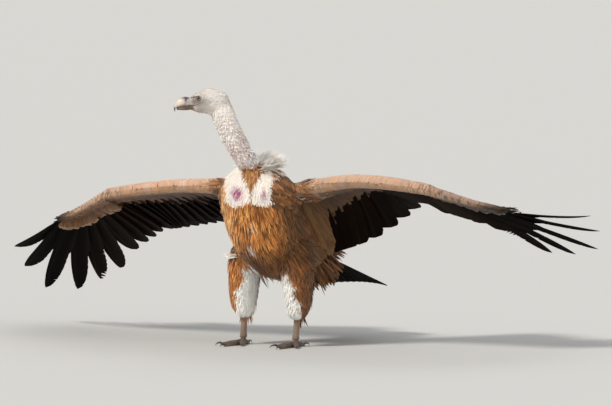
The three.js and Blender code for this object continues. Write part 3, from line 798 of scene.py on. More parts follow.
def finish_named(name, roughness, specular, mottle, sheen=0.0, coat=(0.0, 0.03)):
    """A material that reads its piece's tone, mottled at (patch, grain, strength)."""
    material = bpy.data.materials.new(name)
    material.use_nodes = True
    tree = material.node_tree
    shader = tree.nodes["Principled BSDF"]
    settings = {"Roughness": roughness, "Specular IOR Level": specular,
                "Coat Weight": coat[0], "Coat Roughness": coat[1], "Sheen Weight": sheen}
    for label, value in settings.items():
        shader.inputs[label].default_value = value
    tone = node(tree, "Attribute", attribute_name="tone")
    patch, grain, strength = mottle
    made = node(tree, "Group", node_tree=MOTTLE, Patch_Scale=patch, Grain_Scale=grain,
                Strength=strength)
    tree.links.new(tone.outputs["Color"], made.inputs["Tone"])
    tree.links.new(made.outputs["Tone"], shader.inputs["Base Color"])
    return material, tree, shader, made


def bumped(tree, shader, height, strength, distance):
    bump = node(tree, "Bump", Strength=strength, Distance=distance)
    tree.links.new(height, bump.inputs["Height"])
    tree.links.new(bump.outputs[0], shader.inputs["Normal"])


def skin_finish():
    material, tree, shader, mottle = finish_named("bare_skin", 0.62, 0.3, (90.0, 900.0, 0.35))
    pores = node(tree, "TexVoronoi", feature="F1", Scale=420.0)
    tree.links.new(node(tree, "TexCoord").outputs["Object"], pores.inputs["Vector"])
    height = maths(tree, "MULTIPLY_ADD", pores.outputs["Distance"], 0.6, mottle.outputs["Height"])
    bumped(tree, shader, height, 0.5, 0.0012)
    return material


settle(skin, skin_finish(), "neck_down", *FLESH)


# ---------- bill ----------
# Two horn sheaths set into the cere: a deep upper bill that ends in a downward hook, and a
# shallower lower one inside it. Pale horn with painted shade along the upper cutting edge and a
# dark tip; the lower bill's brown is partly painted shade. Pale horn, worn brown along the edges
# and dark at the tip.
BILL_RINGS, BILL_SIDES = 44, 13
# [forward, culmen, cutting edge, half width] and [forward, upper edge, keel, half width]
UPPER_BILL = [[69, 16.6, -7.4, 12.2], [77.4, 18, -8.2, 13.4], [85, 17.4, -9, 12.8],
              [92, 14.8, -10.2, 11.6], [101, 8.6, -12.2, 9.2], [106.5, 3.2, -14.2, 7],
              [109.2, -0.4, -18.5, 5], [110.8, -2.7, -25.5, 3], [112.2, -5, -21, 2.2],
              [113.3, -9, -15, 1.4]]
LOWER_BILL = [[68, -6.4, -22.2, 11.4], [77.4, -6.9, -22.2, 12.2], [87, -8, -21.7, 10.8],
              [97, -9.8, -21, 8], [105, -12, -19.8, 4.4]]


def track(rows, at):
    """Smooth reading of a table whose first column rises, at many values at once."""
    rows, at = np.array(rows, float), np.atleast_1d(np.asarray(at, float))
    x, last = rows[:, 0], len(rows) - 1
    k = np.clip(np.searchsorted(x, at, side="left") - 1, 0, last - 1)
    before, after = np.maximum(k - 1, 0), np.minimum(k + 2, last)
    t = np.clip((at - x[k]) / (x[k + 1] - x[k]), 0, 1)[:, None]
    a, b = rows[k, 1:], rows[k + 1, 1:]
    step = (x[k + 1] - x[k])[:, None]
    into = (b - rows[before, 1:]) / (x[k + 1] - x[before])[:, None] * step
    outof = (rows[after, 1:] - a) / (x[after] - x[k])[:, None] * step
    t2, t3 = t * t, t * t * t
    return a * (2 * t3 - 3 * t2 + 1) + into * (t3 - 2 * t2 + t) + b * (3 * t2 - 2 * t3) + (
        outof * (t3 - t2))


def tri_mesh(name, co, tri):
    mesh = bpy.data.meshes.new(name)
    mesh.vertices.add(len(co))
    mesh.vertices.foreach_set("co", np.ascontiguousarray(co, np.float32).ravel())
    mesh.loops.add(tri.size)
    mesh.loops.foreach_set("vertex_index", tri.astype(np.int32).ravel())
    mesh.polygons.add(len(tri))
    mesh.polygons.foreach_set("loop_start", np.arange(0, tri.size, 3, dtype=np.int32))
    mesh.update(calc_edges=True)
    piece = bpy.data.objects.new(name, mesh)
    scene.collection.objects.link(piece)
    return piece


def tube_wall(rows, per):
    """Faces of the wall of a tube of rings."""
    k, i = np.meshgrid(np.arange(rows - 1), np.arange(per), indexing="ij")
    a, b = (k * per + i).ravel(), (k * per + (i + 1) % per).ravel()
    return np.column_stack([a, b, b + per, a, b + per, a + per]).reshape(-1, 3)


def tube_faces(rows, per):
    """Faces of a closed tube of rings, with a flat fan at each end."""
    j = np.arange(1, per - 1)
    near = np.column_stack([np.zeros_like(j), j + 1, j])
    far = near[:, [0, 2, 1]] + (rows - 1) * per
    return np.concatenate([tube_wall(rows, per), near, far])


def outward(co, tri):
    """The same faces, turned so that they look out of the solid."""
    a, b, c = (co[tri[:, k]] - co.mean(0) for k in range(3))
    return tri[:, ::-1] if (a * np.cross(b, c)).sum() < 0 else tri


def bill_half(name, table, upper):
    """A horn sheath of arched sections: steep sides, round ridge, thin cutting edges."""
    first, last = table[0][0], table[-1][0]
    share = np.linspace(0, 1, BILL_RINGS)
    forward = first + (last - first) * (1 - (1 - share) ** 1.5)
    top, low, half = track(table, forward).T[..., None]
    ridge, edge = (top, low) if upper else (low, top)
    a = np.linspace(0, math.pi, BILL_SIDES)
    arch = np.sin(a) ** 0.82
    inner = np.linspace(-0.82, 0.82, 5)
    rise = np.append(arch, 0.13 * (1 - inner**2))
    side = half * np.append(np.cos(a) * (1 - 0.16 * arch), inner)
    up = edge + (ridge - edge) * rise
    h = np.stack([np.repeat(forward[:, None], side.shape[1], 1), side, up], 2)
    # a shallow furrow over the cutting edge, and growth rings towards the cere
    over = (up - edge) if upper else (edge - up)
    h[..., 1] *= 1 - 0.05 * hill(over - 4.5, 0, 1.6, 1)
    h[..., 2] += (0.12 * np.sin(forward * 1.9) * ramp(forward, 96, 80))[:, None]
    h = h.reshape(-1, 3)
    co = out_of_head(h)
    piece = tri_mesh(name, co, outward(co, tube_faces(BILL_RINGS, side.shape[1])))
    put_tone(piece.data, upper_bill_tone(h, edge) if upper else lower_bill_tone(h))
    smooth(piece, 50)
    return piece


def upper_bill_tone(h, edge):
    """Pale horn, brown behind the hook, painted shade along the cutting edge, and the cere with its
    nostrils in painted shade.
    """
    f, _, u = h.T
    horn, rim, brown, tip, edge_shadow = paint("#d3c3b6", "#9a8474", "#7f6a5a", "#2b2c31", "#4a3a31")
    depth = u - np.repeat(edge, len(h) // BILL_RINGS)
    cere, cere_top = paint("#aaa29f", "#363a44")
    cere = layered(
        plain(cere, len(h)),
        (cere_top, 0.92 * ramp(u, 8.5, 12.5)),
        # painted shade in the slit of the nostril
        (0.6 * cere_top, hill(f - 76.3, u - 8.5, 2.6, 7)),
    )
    return layered(
        plain(horn, len(h)),
        (brown, 0.8 * ramp(f, 103, 84) * ramp(u, 6, 15)),
        # painted shade along the cutting edge, darkest in a line right at the edge
        (rim, 0.8 * ramp(depth, 6, 1)),
        (edge_shadow, 0.9 * ramp(depth, 2.2, 0.4)),
        (brown, 0.5 * ramp(f, 86, 80)),
        (cere, ramp(f - 0.22 * (u - 6) + 1.2 * np.sin(u * 0.7), 81, 77)),
        (tip, ramp(u, -10.5, -14.5)),
        (tip, 0.35 * ramp(f, 109, 113)),
    )


# lower bill: brown horn with a pink patch; its own colour is made darker as painted shade, and
# darker still as painted shade under the upper bill's edge and along its underside
def lower_bill_tone(h):
    f, _, u = h.T
    horn, brown, pink = paint("#6f5a4c", "#463830", "#9c8475")
    return layered(
        plain(horn, len(h)),
        (pink, hill(f - 92, u + 15.5, 9, 3.6)),
        (brown, 0.7 * ramp(u, -11.5, -8.5)),
        (brown, 0.6 * ramp(u, -18, -21.5)),
    )


def horn_finish(name, roughness, grain, strength):
    """Horn: soft cloudy streaks, fine growth lines and a low wet gloss."""
    material, tree, shader, mottle = finish_named(
        name, roughness, 0.45, (120.0, grain, strength), coat=(0.2, 0.25))
    rough = maths(tree, "MULTIPLY_ADD", mottle.outputs["Height"], 0.3, roughness - 0.15)
    tree.links.new(rough, shader.inputs["Roughness"])
    bumped(tree, shader, mottle.outputs["Height"], 0.35, 0.0006)
    return material


bill_horn = horn_finish("bill_horn", 0.42, 700.0, 0.4)
settle(bill_half("upper_bill", UPPER_BILL, True), bill_horn, "bill_horn", "bill_upper")
settle(bill_half("lower_bill", LOWER_BILL, False), bill_horn, "bill_horn", "bill_lower")


# ---------- eyes ----------
# Glass-clear eyeballs in their sockets: dark amber iris, wide black pupil, and a domed cornea.
PUPIL, IRIS, DOME = 2.7, 5.3, 0.9
PUPIL_TONE, IRIS_TONE, IRIS_RIM, WHITE_TONE = paint("#060505", "#4a2b14", "#1d110a", "#2a1d17")


def eyeball(sign, word):
    bpy.ops.object.select_all(action="DESELECT")
    bpy.ops.mesh.primitive_uv_sphere_add(segments=40, ring_count=36, radius=EYE["radius"] - 0.15)
    piece = bpy.context.object
    piece.name = piece.data.name = f"eyeball_{word}"
    v = corners(piece.data)
    off_axis = np.hypot(v[:, 0], v[:, 1])
    seen = v[:, 2] > 0
    v[:, 2] += DOME * np.where(seen, np.exp(-((off_axis / 4.6) ** 4)), 0)
    ring = np.where(seen, off_axis, 99)
    spokes = 0.75 + 0.25 * np.sin(np.arctan2(v[:, 1], v[:, 0]) * 20)
    tone = layered(
        plain(WHITE_TONE, len(v)),
        (IRIS_RIM, ramp(ring, IRIS + 0.9, IRIS + 0.3)),
        (IRIS_TONE, ramp(ring, IRIS, IRIS - 0.9) * spokes),
        (PUPIL_TONE, ramp(ring, PUPIL + 0.4, PUPIL - 0.1)),
    )
    # pole of the ball looks out sideways and a little forward
    gaze = unit(np.array([0.16, sign, 0.02]))
    across = unit(np.cross([0, 0, 1], gaze))
    h = v[:, :1] * across + v[:, 1:2] * np.cross(gaze, across) + v[:, 2:] * gaze
    h = h + [EYE["forward"], sign * EYE["side"], EYE["up"]]
    move_corners(piece.data, out_of_head(h))
    put_tone(piece.data, tone)
    smooth(piece)
    return piece


def eye_finish():
    material, tree, shader, mottle = finish_named(
        "eye_gloss", 0.12, 0.5, (500.0, 2200.0, 0.5), coat=(1.0, 0.03))
    bumped(tree, shader, mottle.outputs["Height"], 0.08, 0.0002)
    return material


eye_gloss = eye_finish()
for sign, word in ((1, "left"), (-1, "right")):
    settle(eyeball(sign, word), eye_gloss, "eye_gloss", f"eye_{word}")


# ---------- body coat ----------
# Contour feathers over breast, belly, flanks and back. Each is a thin closed vane with a raised
# shaft, rooted in the skin and lying back over the next ones; breast feathers are narrow.
NARROW = ([0, 0.16, 0.42, 0.7, 0.9, 1], [0.35, 0.8, 1, 0.76, 0.36, 0])
ROUND = ([0, 0.16, 0.45, 0.76, 0.93, 1], [0.4, 0.86, 1, 0.95, 0.62, 0])
TUFT = ([0, 0.4, 0.8, 1], [0.6, 1, 0.62, 0])
PATCH = 0.003
PIECE_LIMIT = 190000
ROOT_SUNK = 1.2


def turned(lie, normal, angle):
    """Lie directions turned about the normals by angles in degrees."""
    a = np.radians(angle)[:, None]
    return unit(lie * np.cos(a) + np.cross(normal, lie) * np.sin(a))


def along_skin(lie, normal):
    return unit(lie - normal * (lie * normal).sum(1, keepdims=True))


def lay_spines(root, normal, lie, length, height, t, grip):
    """Points along each vane, over the skin while it is near and straight on beyond it."""
    p = straight(root, lie, length, t)
    at, n, _ = ground.nearest(p.reshape(-1, 3))
    at, n = at.reshape(p.shape), n.reshape(p.shape)
    hold = ramp(np.linalg.norm(p - at, axis=2), *grip)[..., None]
    up = unit(n * hold + normal[:, None] * (1 - hold))
    return (at * hold + p * (1 - hold)) + up * height[..., None], up


def straight(root, lie, length, t):
    """Points at shares t of straight vanes."""
    return root[:, None] + lie[:, None] * (length[:, None] * t)[..., None]


def shaded_at_root(tone, t, share):
    """One tone per feather as a row of tones along it, darker where the next one lies over."""
    return tone[:, None] * (1 - share * ramp(t, 0.75, 0.1))[:, None]


def vane_faces(rows):
    """Faces of one vane: left edge, shaft, right edge in each row, then the tip."""
    faces = [(0, 2, 1)]
    for k in range(rows - 2):
        a, b = 3 * k, 3 * k + 3
        for i, j in ((0, 1), (1, 2), (2, 0)):
            faces += [(a + i, a + j, b + j), (a + i, b + j, b + i)]
    last, tip = 3 * (rows - 2), 3 * (rows - 1)
    faces += [(last + i, last + j, tip) for i, j in ((0, 1), (1, 2), (2, 0))]
    return np.array(faces)


def feather_piece(name, tri, co, tone, vane, uv, sharp_from, finish, slot, *nodes):
    """A piece of feathers: its faces, corners, tones, vane values and OFBake places."""
    piece = tri_mesh(name, co, tri)
    put_tone(piece.data, tone)
    put(piece.data, "vane", "FLOAT_VECTOR", vane)
    layer = piece.data.uv_layers.new(name="OFBake")
    layer.uv.foreach_set("vector", uv[tri.ravel()].astype(np.float32).ravel())
    smooth(piece, sharp_from)
    settle(piece, finish, slot, *nodes)


def patch_at(root, vane):
    """OFBake places of each vane: a small patch round its root's place on the skin."""
    return ground.unwrap(root)[:, None] + PATCH * 0.5 * (vane[..., :2] * [1, 2] - [0, 1])


def grow_vanes(name, spine, up, half, ridge, tone, finish, slot, seed, *nodes):
    """Joined vanes along spines (n, rows, 3), as one or more pieces under the face limit."""
    count, rows = spine.shape[:2]
    way = np.gradient(spine, axis=1)
    side = unit(np.cross(way, up))
    up = unit(np.cross(side, way))
    left, right = spine - side * half[..., None], spine + side * half[..., None]
    body = np.stack([left, spine + up * (ridge * half)[..., None], right], 2)[:, :-1]
    co = np.concatenate([body.reshape(count, -1, 3), spine[:, -1:]], 1)
    per = co.shape[1]
    vane = np.zeros((count, per, 3))
    vane[:, :-1, 0] = np.tile([-1.0, 0.0, 1.0], rows - 1)
    vane[..., 1] = np.append(np.repeat(np.linspace(0, 1, rows)[:-1], 3), 1)
    vane[..., 2] = np.random.default_rng(seed).random(count)[:, None]
    if tone.ndim == 2:
        tone = np.repeat(tone[:, None], rows, 1)
    tone = np.concatenate([np.repeat(tone[:, :-1], 3, 1), tone[:, -1:]], 1)
    uv = patch_at(spine[:, 0], vane)
    template = vane_faces(rows)
    parts = max(1, math.ceil(count * len(template) / PIECE_LIMIT))
    for k, chosen in enumerate(np.array_split(np.arange(count), parts)):
        label = name if parts == 1 else f"{name}_{k + 1}"
        tri = (template + per * np.arange(len(chosen))[:, None, None]).reshape(-1, 3)
        values = [x[chosen].reshape(-1, x.shape[-1]) for x in (co, tone, vane, uv)]
        feather_piece(label, tri, *values, 50, finish, slot, *nodes)


def barb_group():
    """Barb streaks, shaft, edge and tip masks from a vane's own across and along values."""
    tree, into, out = new_group(
        "barbs",
        [("Vane", "NodeSocketVector", None), ("Streaks", "NodeSocketFloat", 22.0),
         ("Slant", "NodeSocketFloat", 0.22)],
        [("Barbs", "NodeSocketFloat"), ("Shaft", "NodeSocketFloat"),
         ("Edge", "NodeSocketFloat"), ("Tip", "NodeSocketFloat"), ("Chance", "NodeSocketFloat")],
    )
    parts = node(tree, "SeparateXYZ")
    tree.links.new(into.outputs["Vane"], parts.inputs[0])
    wide = maths(tree, "ABSOLUTE", parts.outputs[0], None)
    slant = maths(tree, "MULTIPLY", wide, into.outputs["Slant"])
    shifted = maths(tree, "SUBTRACT", parts.outputs[1], slant)
    rows = maths(tree, "MULTIPLY", shifted, into.outputs["Streaks"])
    place = node(tree, "CombineXYZ")
    tree.links.new(parts.outputs[0], place.inputs[0])
    tree.links.new(rows, place.inputs[1])
    tree.links.new(maths(tree, "MULTIPLY", parts.outputs[2], 37.0), place.inputs[2])
    noise = node(tree, "TexNoise", Scale=1.6, Detail=3.0, Roughness=0.6)
    tree.links.new(place.outputs[0], noise.inputs["Vector"])
    tree.links.new(noise.outputs["Fac"], out.inputs["Barbs"])
    for label, value, low, high in (
        ("Shaft", wide, 0.16, 0.02), ("Edge", wide, 0.5, 0.98), ("Tip", parts.outputs[1], 0.62, 1),
    ):
        mask = node(tree, "MapRange", interpolation_type="SMOOTHSTEP", From_Min=low, From_Max=high)
        tree.links.new(value, mask.inputs["Value"])
        tree.links.new(mask.outputs["Result"], out.inputs[label])
    tree.links.new(parts.outputs[2], out.inputs["Chance"])
    return tree


BARBS = barb_group()


def plumage(name, streaks, contrast, shaft=0.0, edge=None, tip=None, roughness=0.72,
            specular=0.25, sheen=0.15, bump=0.35):
    """A feather finish: (colour, share) of edge and tip, shaft line lighter (+) or darker (-)."""
    material, tree, shader, mottle = finish_named(
        name, roughness, specular, (30.0, 500.0, 0.3), sheen)
    vane = node(tree, "Attribute", attribute_name="vane")
    barbs = node(tree, "Group", node_tree=BARBS, Streaks=streaks)
    tree.links.new(vane.outputs["Vector"], barbs.inputs["Vane"])
    swing = maths(tree, "SUBTRACT", barbs.outputs["Barbs"], 0.5)
    gain = maths(tree, "MULTIPLY_ADD", swing, 2 * contrast, 1.0)
    if shaft:
        gain = maths(tree, "MULTIPLY_ADD", barbs.outputs["Shaft"], shaft, gain)
    colour = shaded(tree, mottle.outputs["Tone"], gain)
    for label, chosen in (("Edge", edge), ("Tip", tip)):
        if chosen:
            share = maths(tree, "MULTIPLY", barbs.outputs[label], chosen[1])
            colour = mixed(tree, share, colour, (*paint(chosen[0]), 1))
    tree.links.new(colour, shader.inputs["Base Color"])
    bumped(tree, shader, barbs.outputs["Barbs"], bump, 0.0008)
    return material


def varied(tone, draw, light):
    """Each feather a little lighter or darker, warmer or cooler than its place."""
    n = len(tone)
    gain = 1 + light * draw.normal(size=(n, 1)).clip(-2, 2)
    tint = 1 + 0.05 * draw.normal(size=(n, 1)).clip(-2, 2) * np.array([[1, 0.2, -1]])
    return np.clip(tone * gain * tint, 0.002, 0.95)


# [place back, height] along the line that the feathers of breast, belly and rump follow
AXIS = np.array([[-94, 547], [-90, 528], [-72, 486], [-45, 432], [-5, 377], [45, 330], [106, 292],
                 [170, 268], [233, 259], [286, 260], [330, 256]], float)


def body_lie(p):
    """Which way feathers lie on the trunk: down the breast, then back along belly and rump."""
    fine = np.linspace(0, len(AXIS) - 1, 60)
    line = np.stack([np.interp(fine, np.arange(len(AXIS)), AXIS[:, k]) for k in (0, 1)], 1)
    way = unit(np.gradient(line, axis=0))
    gap = ((p[:, None, 1:] - line[None]) ** 2).sum(2)
    share = np.exp(-(gap - gap.min(1, keepdims=True)) / 900)
    way = (share[..., None] * way).sum(1) / share.sum(1, keepdims=True)
    w = across_breast(p)
    fan = 0.2 * np.tanh(w / 45) * ramp(p[:, 1], 0, -90)
    lie = np.column_stack([fan, way[:, 0], way[:, 1] - 0.3])
    back = ramp(p[:, 1] * 0.62 + p[:, 2], 440, 520) * ramp(p[:, 1], -75, -20)
    lie = lie + back[:, None] * np.array([0, 0.9, 0.1])
    lie[:, 2] -= 0.6 * ramp(p[:, 1], 160, 210)
    lie[:, 0] += 0.25 * np.sign(p[:, 0]) * ramp(np.abs(p[:, 0]), 80, 118) * ramp(p[:, 2], 420, 460)
    return unit(lie)


def on_trunk(p):
    across = np.abs(p[:, 0])
    leg = (p[:, 2] < 262) & (across > 42) & (p[:, 1] < 92) & (p[:, 1] > -48)
    return (across < 128) & (p[:, 2] < 549) & (p[:, 2] > 190) & ~leg


def is_crop(p):
    """1 on the white crop patch, 0 elsewhere."""
    tone = coat_tone(p)
    return (tone[:, 2] > 0.32) & (p[:, 1] < 10) & (p[:, 2] > 395) & (p[:, 2] < 549)


def is_back(p):
    """1 on the mantle and rump, 0 elsewhere."""
    return (p[:, 1] * 0.62 + p[:, 2] > 470) & (p[:, 1] > -50)


def coat(name, chosen, spacing, shape, length, half, lift, lie_of, finish, slot, seed,
         jitter=9, clump=12, clump_size=36, light=0.14, shade=0.0, grip=(0.034, 0.012),
         tone_of=coat_tone, length_of=lambda p: 1):
    """Scatters one kind of feather over a chosen part of the skin. Sizes in millimetres."""
    draw = np.random.default_rng(seed)
    root, normal = ground.scatter(spacing, chosen, seed)
    p, n = local(root), len(root)
    lie = along_skin(lie_of(p), normal)
    lie = turned(lie, normal, jitter * draw.normal(size=n) + clump * wander(p, clump_size, seed))
    t, wide = np.array(shape)
    size = draw.uniform(0.82, 1.18, n) * length_of(p)
    rise = lift * draw.uniform(0.65, 1.25, n) * size
    height = ((rise[:, None] + ROOT_SUNK) * t**0.62 - ROOT_SUNK) / 1000
    spine, up = lay_spines(root, normal, lie, length * size / 1000, height, t, grip)
    reach = half / 1000 * np.sqrt(size)[:, None] * draw.uniform(0.85, 1.15, n)[:, None] * wide
    tone = varied(tone_of(p), draw, light)
    if shade:
        tone = shaded_at_root(tone, t, shade)
    grow_vanes(name, spine, up, reach, 0.22, tone, finish, slot, seed)


breast_finish = plumage("breast_plumage", 9.0, 0.55, shaft=0.3, edge=("#6b3f1d", 0.3))
mantle_finish = plumage("mantle_plumage", 16.0, 0.35, shaft=0.12, edge=("#b08d66", 0.4),
                        tip=("#b6946d", 0.3))
down_finish = plumage("white_down", 8.0, 0.13, roughness=0.85, sheen=0.3)

coat("breast_coat", lambda p: on_trunk(p) & ~is_crop(p) & ~is_back(p) & (p[:, 1] < 70), 4.9,
     NARROW, 44, 2.7, 6.5, body_lie, breast_finish, "body_plumage", 11, jitter=6, clump=7,
     clump_size=26, light=0.34, shade=0.55, tone_of=lambda p: coat_tone(p - [0, 0, 7]),
     length_of=lambda p: 0.5 + 0.5 * ramp(p[:, 2], 480, 360) + 0.3 * ramp(p[:, 2], 330, 250)
     + 0.7 * ramp(p[:, 2], 300, 250) * ramp(np.abs(p[:, 0]), 70, 50))
coat("flank_coat", lambda p: on_trunk(p) & ~is_crop(p) & ~is_back(p) & (p[:, 1] >= 70), 8.0,
     NARROW, 68, 6.0, 8.5, body_lie, breast_finish, "body_plumage", 12, light=0.2, shade=0.4,
     length_of=lambda p: 1 - 0.5 * ramp(p[:, 2], 290, 250) * ramp(np.abs(p[:, 0]), 70, 50))
coat("mantle_coat", lambda p: on_trunk(p) & is_back(p), 12.5, ROUND, 66, 13, 8.5, body_lie,
     mantle_finish, "body_plumage", 13, clump=5, light=0.16, shade=0.4,
     length_of=lambda p: 0.6 + 0.55 * ramp(p[:, 1], -40, 140))
coat("crop_down", lambda p: on_trunk(p) & is_crop(p), 3.3, TUFT, 10, 1.4, 3.6, body_lie,
     down_finish, "neck_down", 14, jitter=14, clump=16, clump_size=12, light=0.05)


# Shoulder feathers run out over the root of each wing, so that no edge shows where it starts.
def shoulder_lie(p):
    return unit(np.sign(p[:, :1]) * [0.9, 0, 0] + [0, 0.3, -0.3])


def shoulder_tone(p):
    return layered(
        plain(paint("#9a673c"), len(p)),
        (paint("#5f3f25"), np.clip(0.5 + 0.6 * wander(p, 14, 19), 0, 1)),
        (paint("#c19a7b"), ramp(np.abs(p[:, 0]), 120, 185)),
    )


coat("shoulder_coat", lambda p: (np.abs(p[:, 0]) > 78) & (np.abs(p[:, 0]) < 190)
     & (p[:, 2] < 545) & (p[:, 2] > 438 - 0.3 * np.abs(p[:, 0] - 100))
     & (p[:, 1] < 60) & (p[:, 1] > -150), 6.0,
     ROUND, 40, 4.6, 6.5, shoulder_lie, breast_finish, "body_plumage", 18, jitter=9, clump=9,
     light=0.2, shade=0.4, tone_of=shoulder_tone,
     length_of=lambda p: 1.15 - 0.6 * ramp(np.abs(p[:, 0]), 110, 190))


# Long loose feathers hang from the vent, and stiffer ones cover the roots of the tail above.
def vent_plumes():
    draw = np.random.default_rng(17)
    root, normal = ground.scatter(
        5.5, lambda p: (np.abs(p[:, 0]) < 66) & (p[:, 1] > 150) & (p[:, 2] < 330), 17)
    p, n = local(root), len(root)
    hang = ramp(normal[:, 2], 0.35, -0.15)[:, None]
    below = np.column_stack([0.12 * np.sign(p[:, 0]), np.full(n, 0.62), np.full(n, -0.8)])
    over = np.column_stack([0.002 * p[:, 0], np.full(n, 0.93), np.full(n, -0.36)])
    lie = unit(below * hang + over * (1 - hang) + 0.2 * draw.normal(size=(n, 3)))
    t, wide = np.array(ROUND)
    run = draw.uniform(46, 92, n) * (0.45 + 0.55 * ramp(p[:, 1], 158, 215)) / 1000
    spine = straight(root, lie, run, t) + normal[:, None] * (0.009 * t**0.6)[:, None]
    up = np.repeat(unit(normal + [0, 0, 0.001])[:, None], len(t), 1)
    half = draw.uniform(2.6, 5.2, n)[:, None] / 1000 * wide
    tone = blend(plain(paint("#563819"), n), paint("#976338"), draw.random(n) ** 1.5)
    tone = shaded_at_root(varied(tone, draw, 0.2), t, 0.45)
    grow_vanes("vent_plumes", spine, up, half, 0.2, tone, breast_finish, "body_plumage", 17)


vent_plumes()


# ---------- neck and head down ----------
# Short white down, thin enough on the neck that pink skin shows in patches; on the head it is
# almost flat, and it stops at the lids, the lore and the cere.
DOWN_NECK = np.array([0.27, 0.345, -0.9])


def neck_lie(p):
    return unit(plain(DOWN_NECK, len(p)))


def head_lie(p):
    back = -head_forward + np.array([0, 0, -0.25])
    low = ramp(head_frame(p)[:, 0], 10, -40)[:, None]
    return unit(back * (1 - low) + DOWN_NECK * low)


def on_neck(p):
    draw = np.random.default_rng(21).random(len(p))
    return (p[:, 2] > 540) & (p[:, 2] < 708) & (np.abs(p[:, 0] + 40) < 90) & (
        draw > 0.75 * neck_bare(p))


def on_head(p):
    f, s, u = head_frame(p).T
    r = np.hypot(f - EYE["forward"], u - EYE["up"])
    clear = (r > 11) | (np.abs(s) < 12)
    return (p[:, 2] >= 700) & clear & (f < 58) & ~((f > 46) & (np.abs(s) > 9))


coat("neck_down", on_neck, 2.9, TUFT, 8, 1.6, 5.2, neck_lie, down_finish, "neck_down", 15,
     jitter=40, clump=40, clump_size=6, light=0.09, grip=(0.02, 0.008),
     length_of=lambda p: (1 - 0.35 * ramp(p[:, 2], 650, 700)) * (1 + 0.3 * wander(p, 5, 9))
     + 0.9 * ramp(behind_neck(p), 4, 20) * ramp(p[:, 2], 712, 630))
coat("head_down", on_head, 2.3, TUFT, 6.5, 1.15, 1.5, head_lie, down_finish, "neck_down", 16,
     jitter=16, clump=14, clump_size=10, light=0.04, grip=(0.02, 0.008),
     length_of=lambda p: 1 + 0.7 * ramp((p - HEAD_CENTRE) @ HEAD_AXES[0], 5, -30))


# ---------- ruff ----------
# A loose collar of long wispy white plumes round the back and sides of the neck base.
RUFF_PLUMES, FRINGE_PLUMES = 1100, 30
RUFF_MIDDLE = np.array([0, -78, 528.0])


def ruff_plumes():
    draw = np.random.default_rng(31)
    n = RUFF_PLUMES
    turn = np.radians(draw.triangular(-42, 60, 168, n))
    behind = 0.5 + 0.5 * np.sin(turn)
    out = np.column_stack([np.cos(turn), 0.95 * np.sin(turn), np.zeros(n)])
    ring = draw.uniform(24, 56, n)
    start = RUFF_MIDDLE + out * ring[:, None] + np.array([0, 0, 1]) * (20 - 0.3 * ring)[:, None]
    root, normal, _ = ground.nearest(placed(start))
    rise = draw.uniform(0.15, 1.05, n) * (0.35 + 0.65 * behind)
    lie = unit(out + np.column_stack([np.zeros(n), np.full(n, 0.15), rise]))
    lie = unit(lie + 0.16 * draw.normal(size=(n, 3)))
    length = draw.uniform(34, 72, n) * (0.6 + 0.4 * behind) / 1000
    t = np.linspace(0, 1, 7)
    spine = straight(root, lie, length, t)
    spine[..., 2] += draw.uniform(-3.2, 1.2, n)[:, None] * (length[:, None] * t) ** 2
    wave = 0.0022 * np.sin(t * 5 + draw.uniform(0, 6, n)[:, None]) * t
    spine = spine + unit(np.cross(lie, normal))[:, None] * wave[..., None]
    up = np.repeat(unit(normal + np.array([0, 0, 0.6]))[:, None], len(t), 1)
    half = draw.uniform(1.6, 3.2, n)[:, None] / 1000 * np.array([0.6, 1, 1, 0.8, 0.55, 0.3, 0])
    tawny = 0.6 * (draw.random(n) > 0.82)
    tone = varied(blend(plain(paint("#fcf8f2"), n), paint("#cfa883"), tawny), draw, 0.05)
    grow_vanes("ruff_plumes", spine, up, half, 0.3, tone, down_finish, "ruff_plumes", 31, "ruff")


ruff_plumes()


# A worn white fringe stands out where the right flank meets the thigh.
def fringe():
    draw = np.random.default_rng(33)
    n = FRINGE_PLUMES
    start = np.column_stack([draw.uniform(-112, -84, n), draw.uniform(-60, -30, n),
                             273 + 2.5 * draw.normal(size=n)])
    root, normal, _ = ground.nearest(placed(start))
    lie = unit(np.array([-0.84, -0.5, 0.0]) + 0.09 * draw.normal(size=(n, 3)))
    t, wide = np.array(NARROW)
    spine = straight(root + normal * 0.005, lie, draw.uniform(16, 34, n) / 1000, t)
    half = draw.uniform(0.8, 1.6, n)[:, None] / 1000 * wide
    tone = varied(plain(CROP_WHITE, n), draw, 0.08)
    up = np.repeat(normal[:, None], len(t), 1)
    grow_vanes("fringe_plumes", spine, up, half, 0.3, tone, down_finish, "body_plumage", 33)


fringe()


# ---------- legs ----------
# Feathered thighs: short white down in front and inside, long brown trouser feathers outside.
# Shanks and toes are bare, with overlapping plates in front and pads below.
def on_leg(p):
    return (p[:, 2] < 288) & (np.abs(p[:, 0]) > 34) & (np.abs(p[:, 0]) < 150) & (
        p[:, 1] > -62) & (p[:, 1] < 118) & (p[:, 2] > 84)


def leg_lie(p):
    return unit(np.sign(p[:, :1]) * [0.06, 0, 0] + [0, 0.12, -1])


leg_finish = plumage("trouser_plumage", 9.0, 0.42, shaft=0.18, edge=("#70431f", 0.25))
coat("leg_down", lambda p: on_leg(p) & (leg_white(p) > 0.5), 3.5, TUFT, 13, 1.7, 5, leg_lie,
     down_finish, "leg_plumage", 41, jitter=12, clump=12, clump_size=14, light=0.06,
     length_of=lambda p: 1 + 0.8 * ramp(p[:, 2], 130, 95))
coat("trousers", lambda p: on_leg(p) & (leg_white(p) <= 0.5), 5.4, NARROW, 40, 3.2, 7, leg_lie,
     leg_finish, "leg_plumage", 42, light=0.2, shade=0.4,
     length_of=lambda p: 0.62 + 0.7 * ramp(p[:, 1], 10, 70))


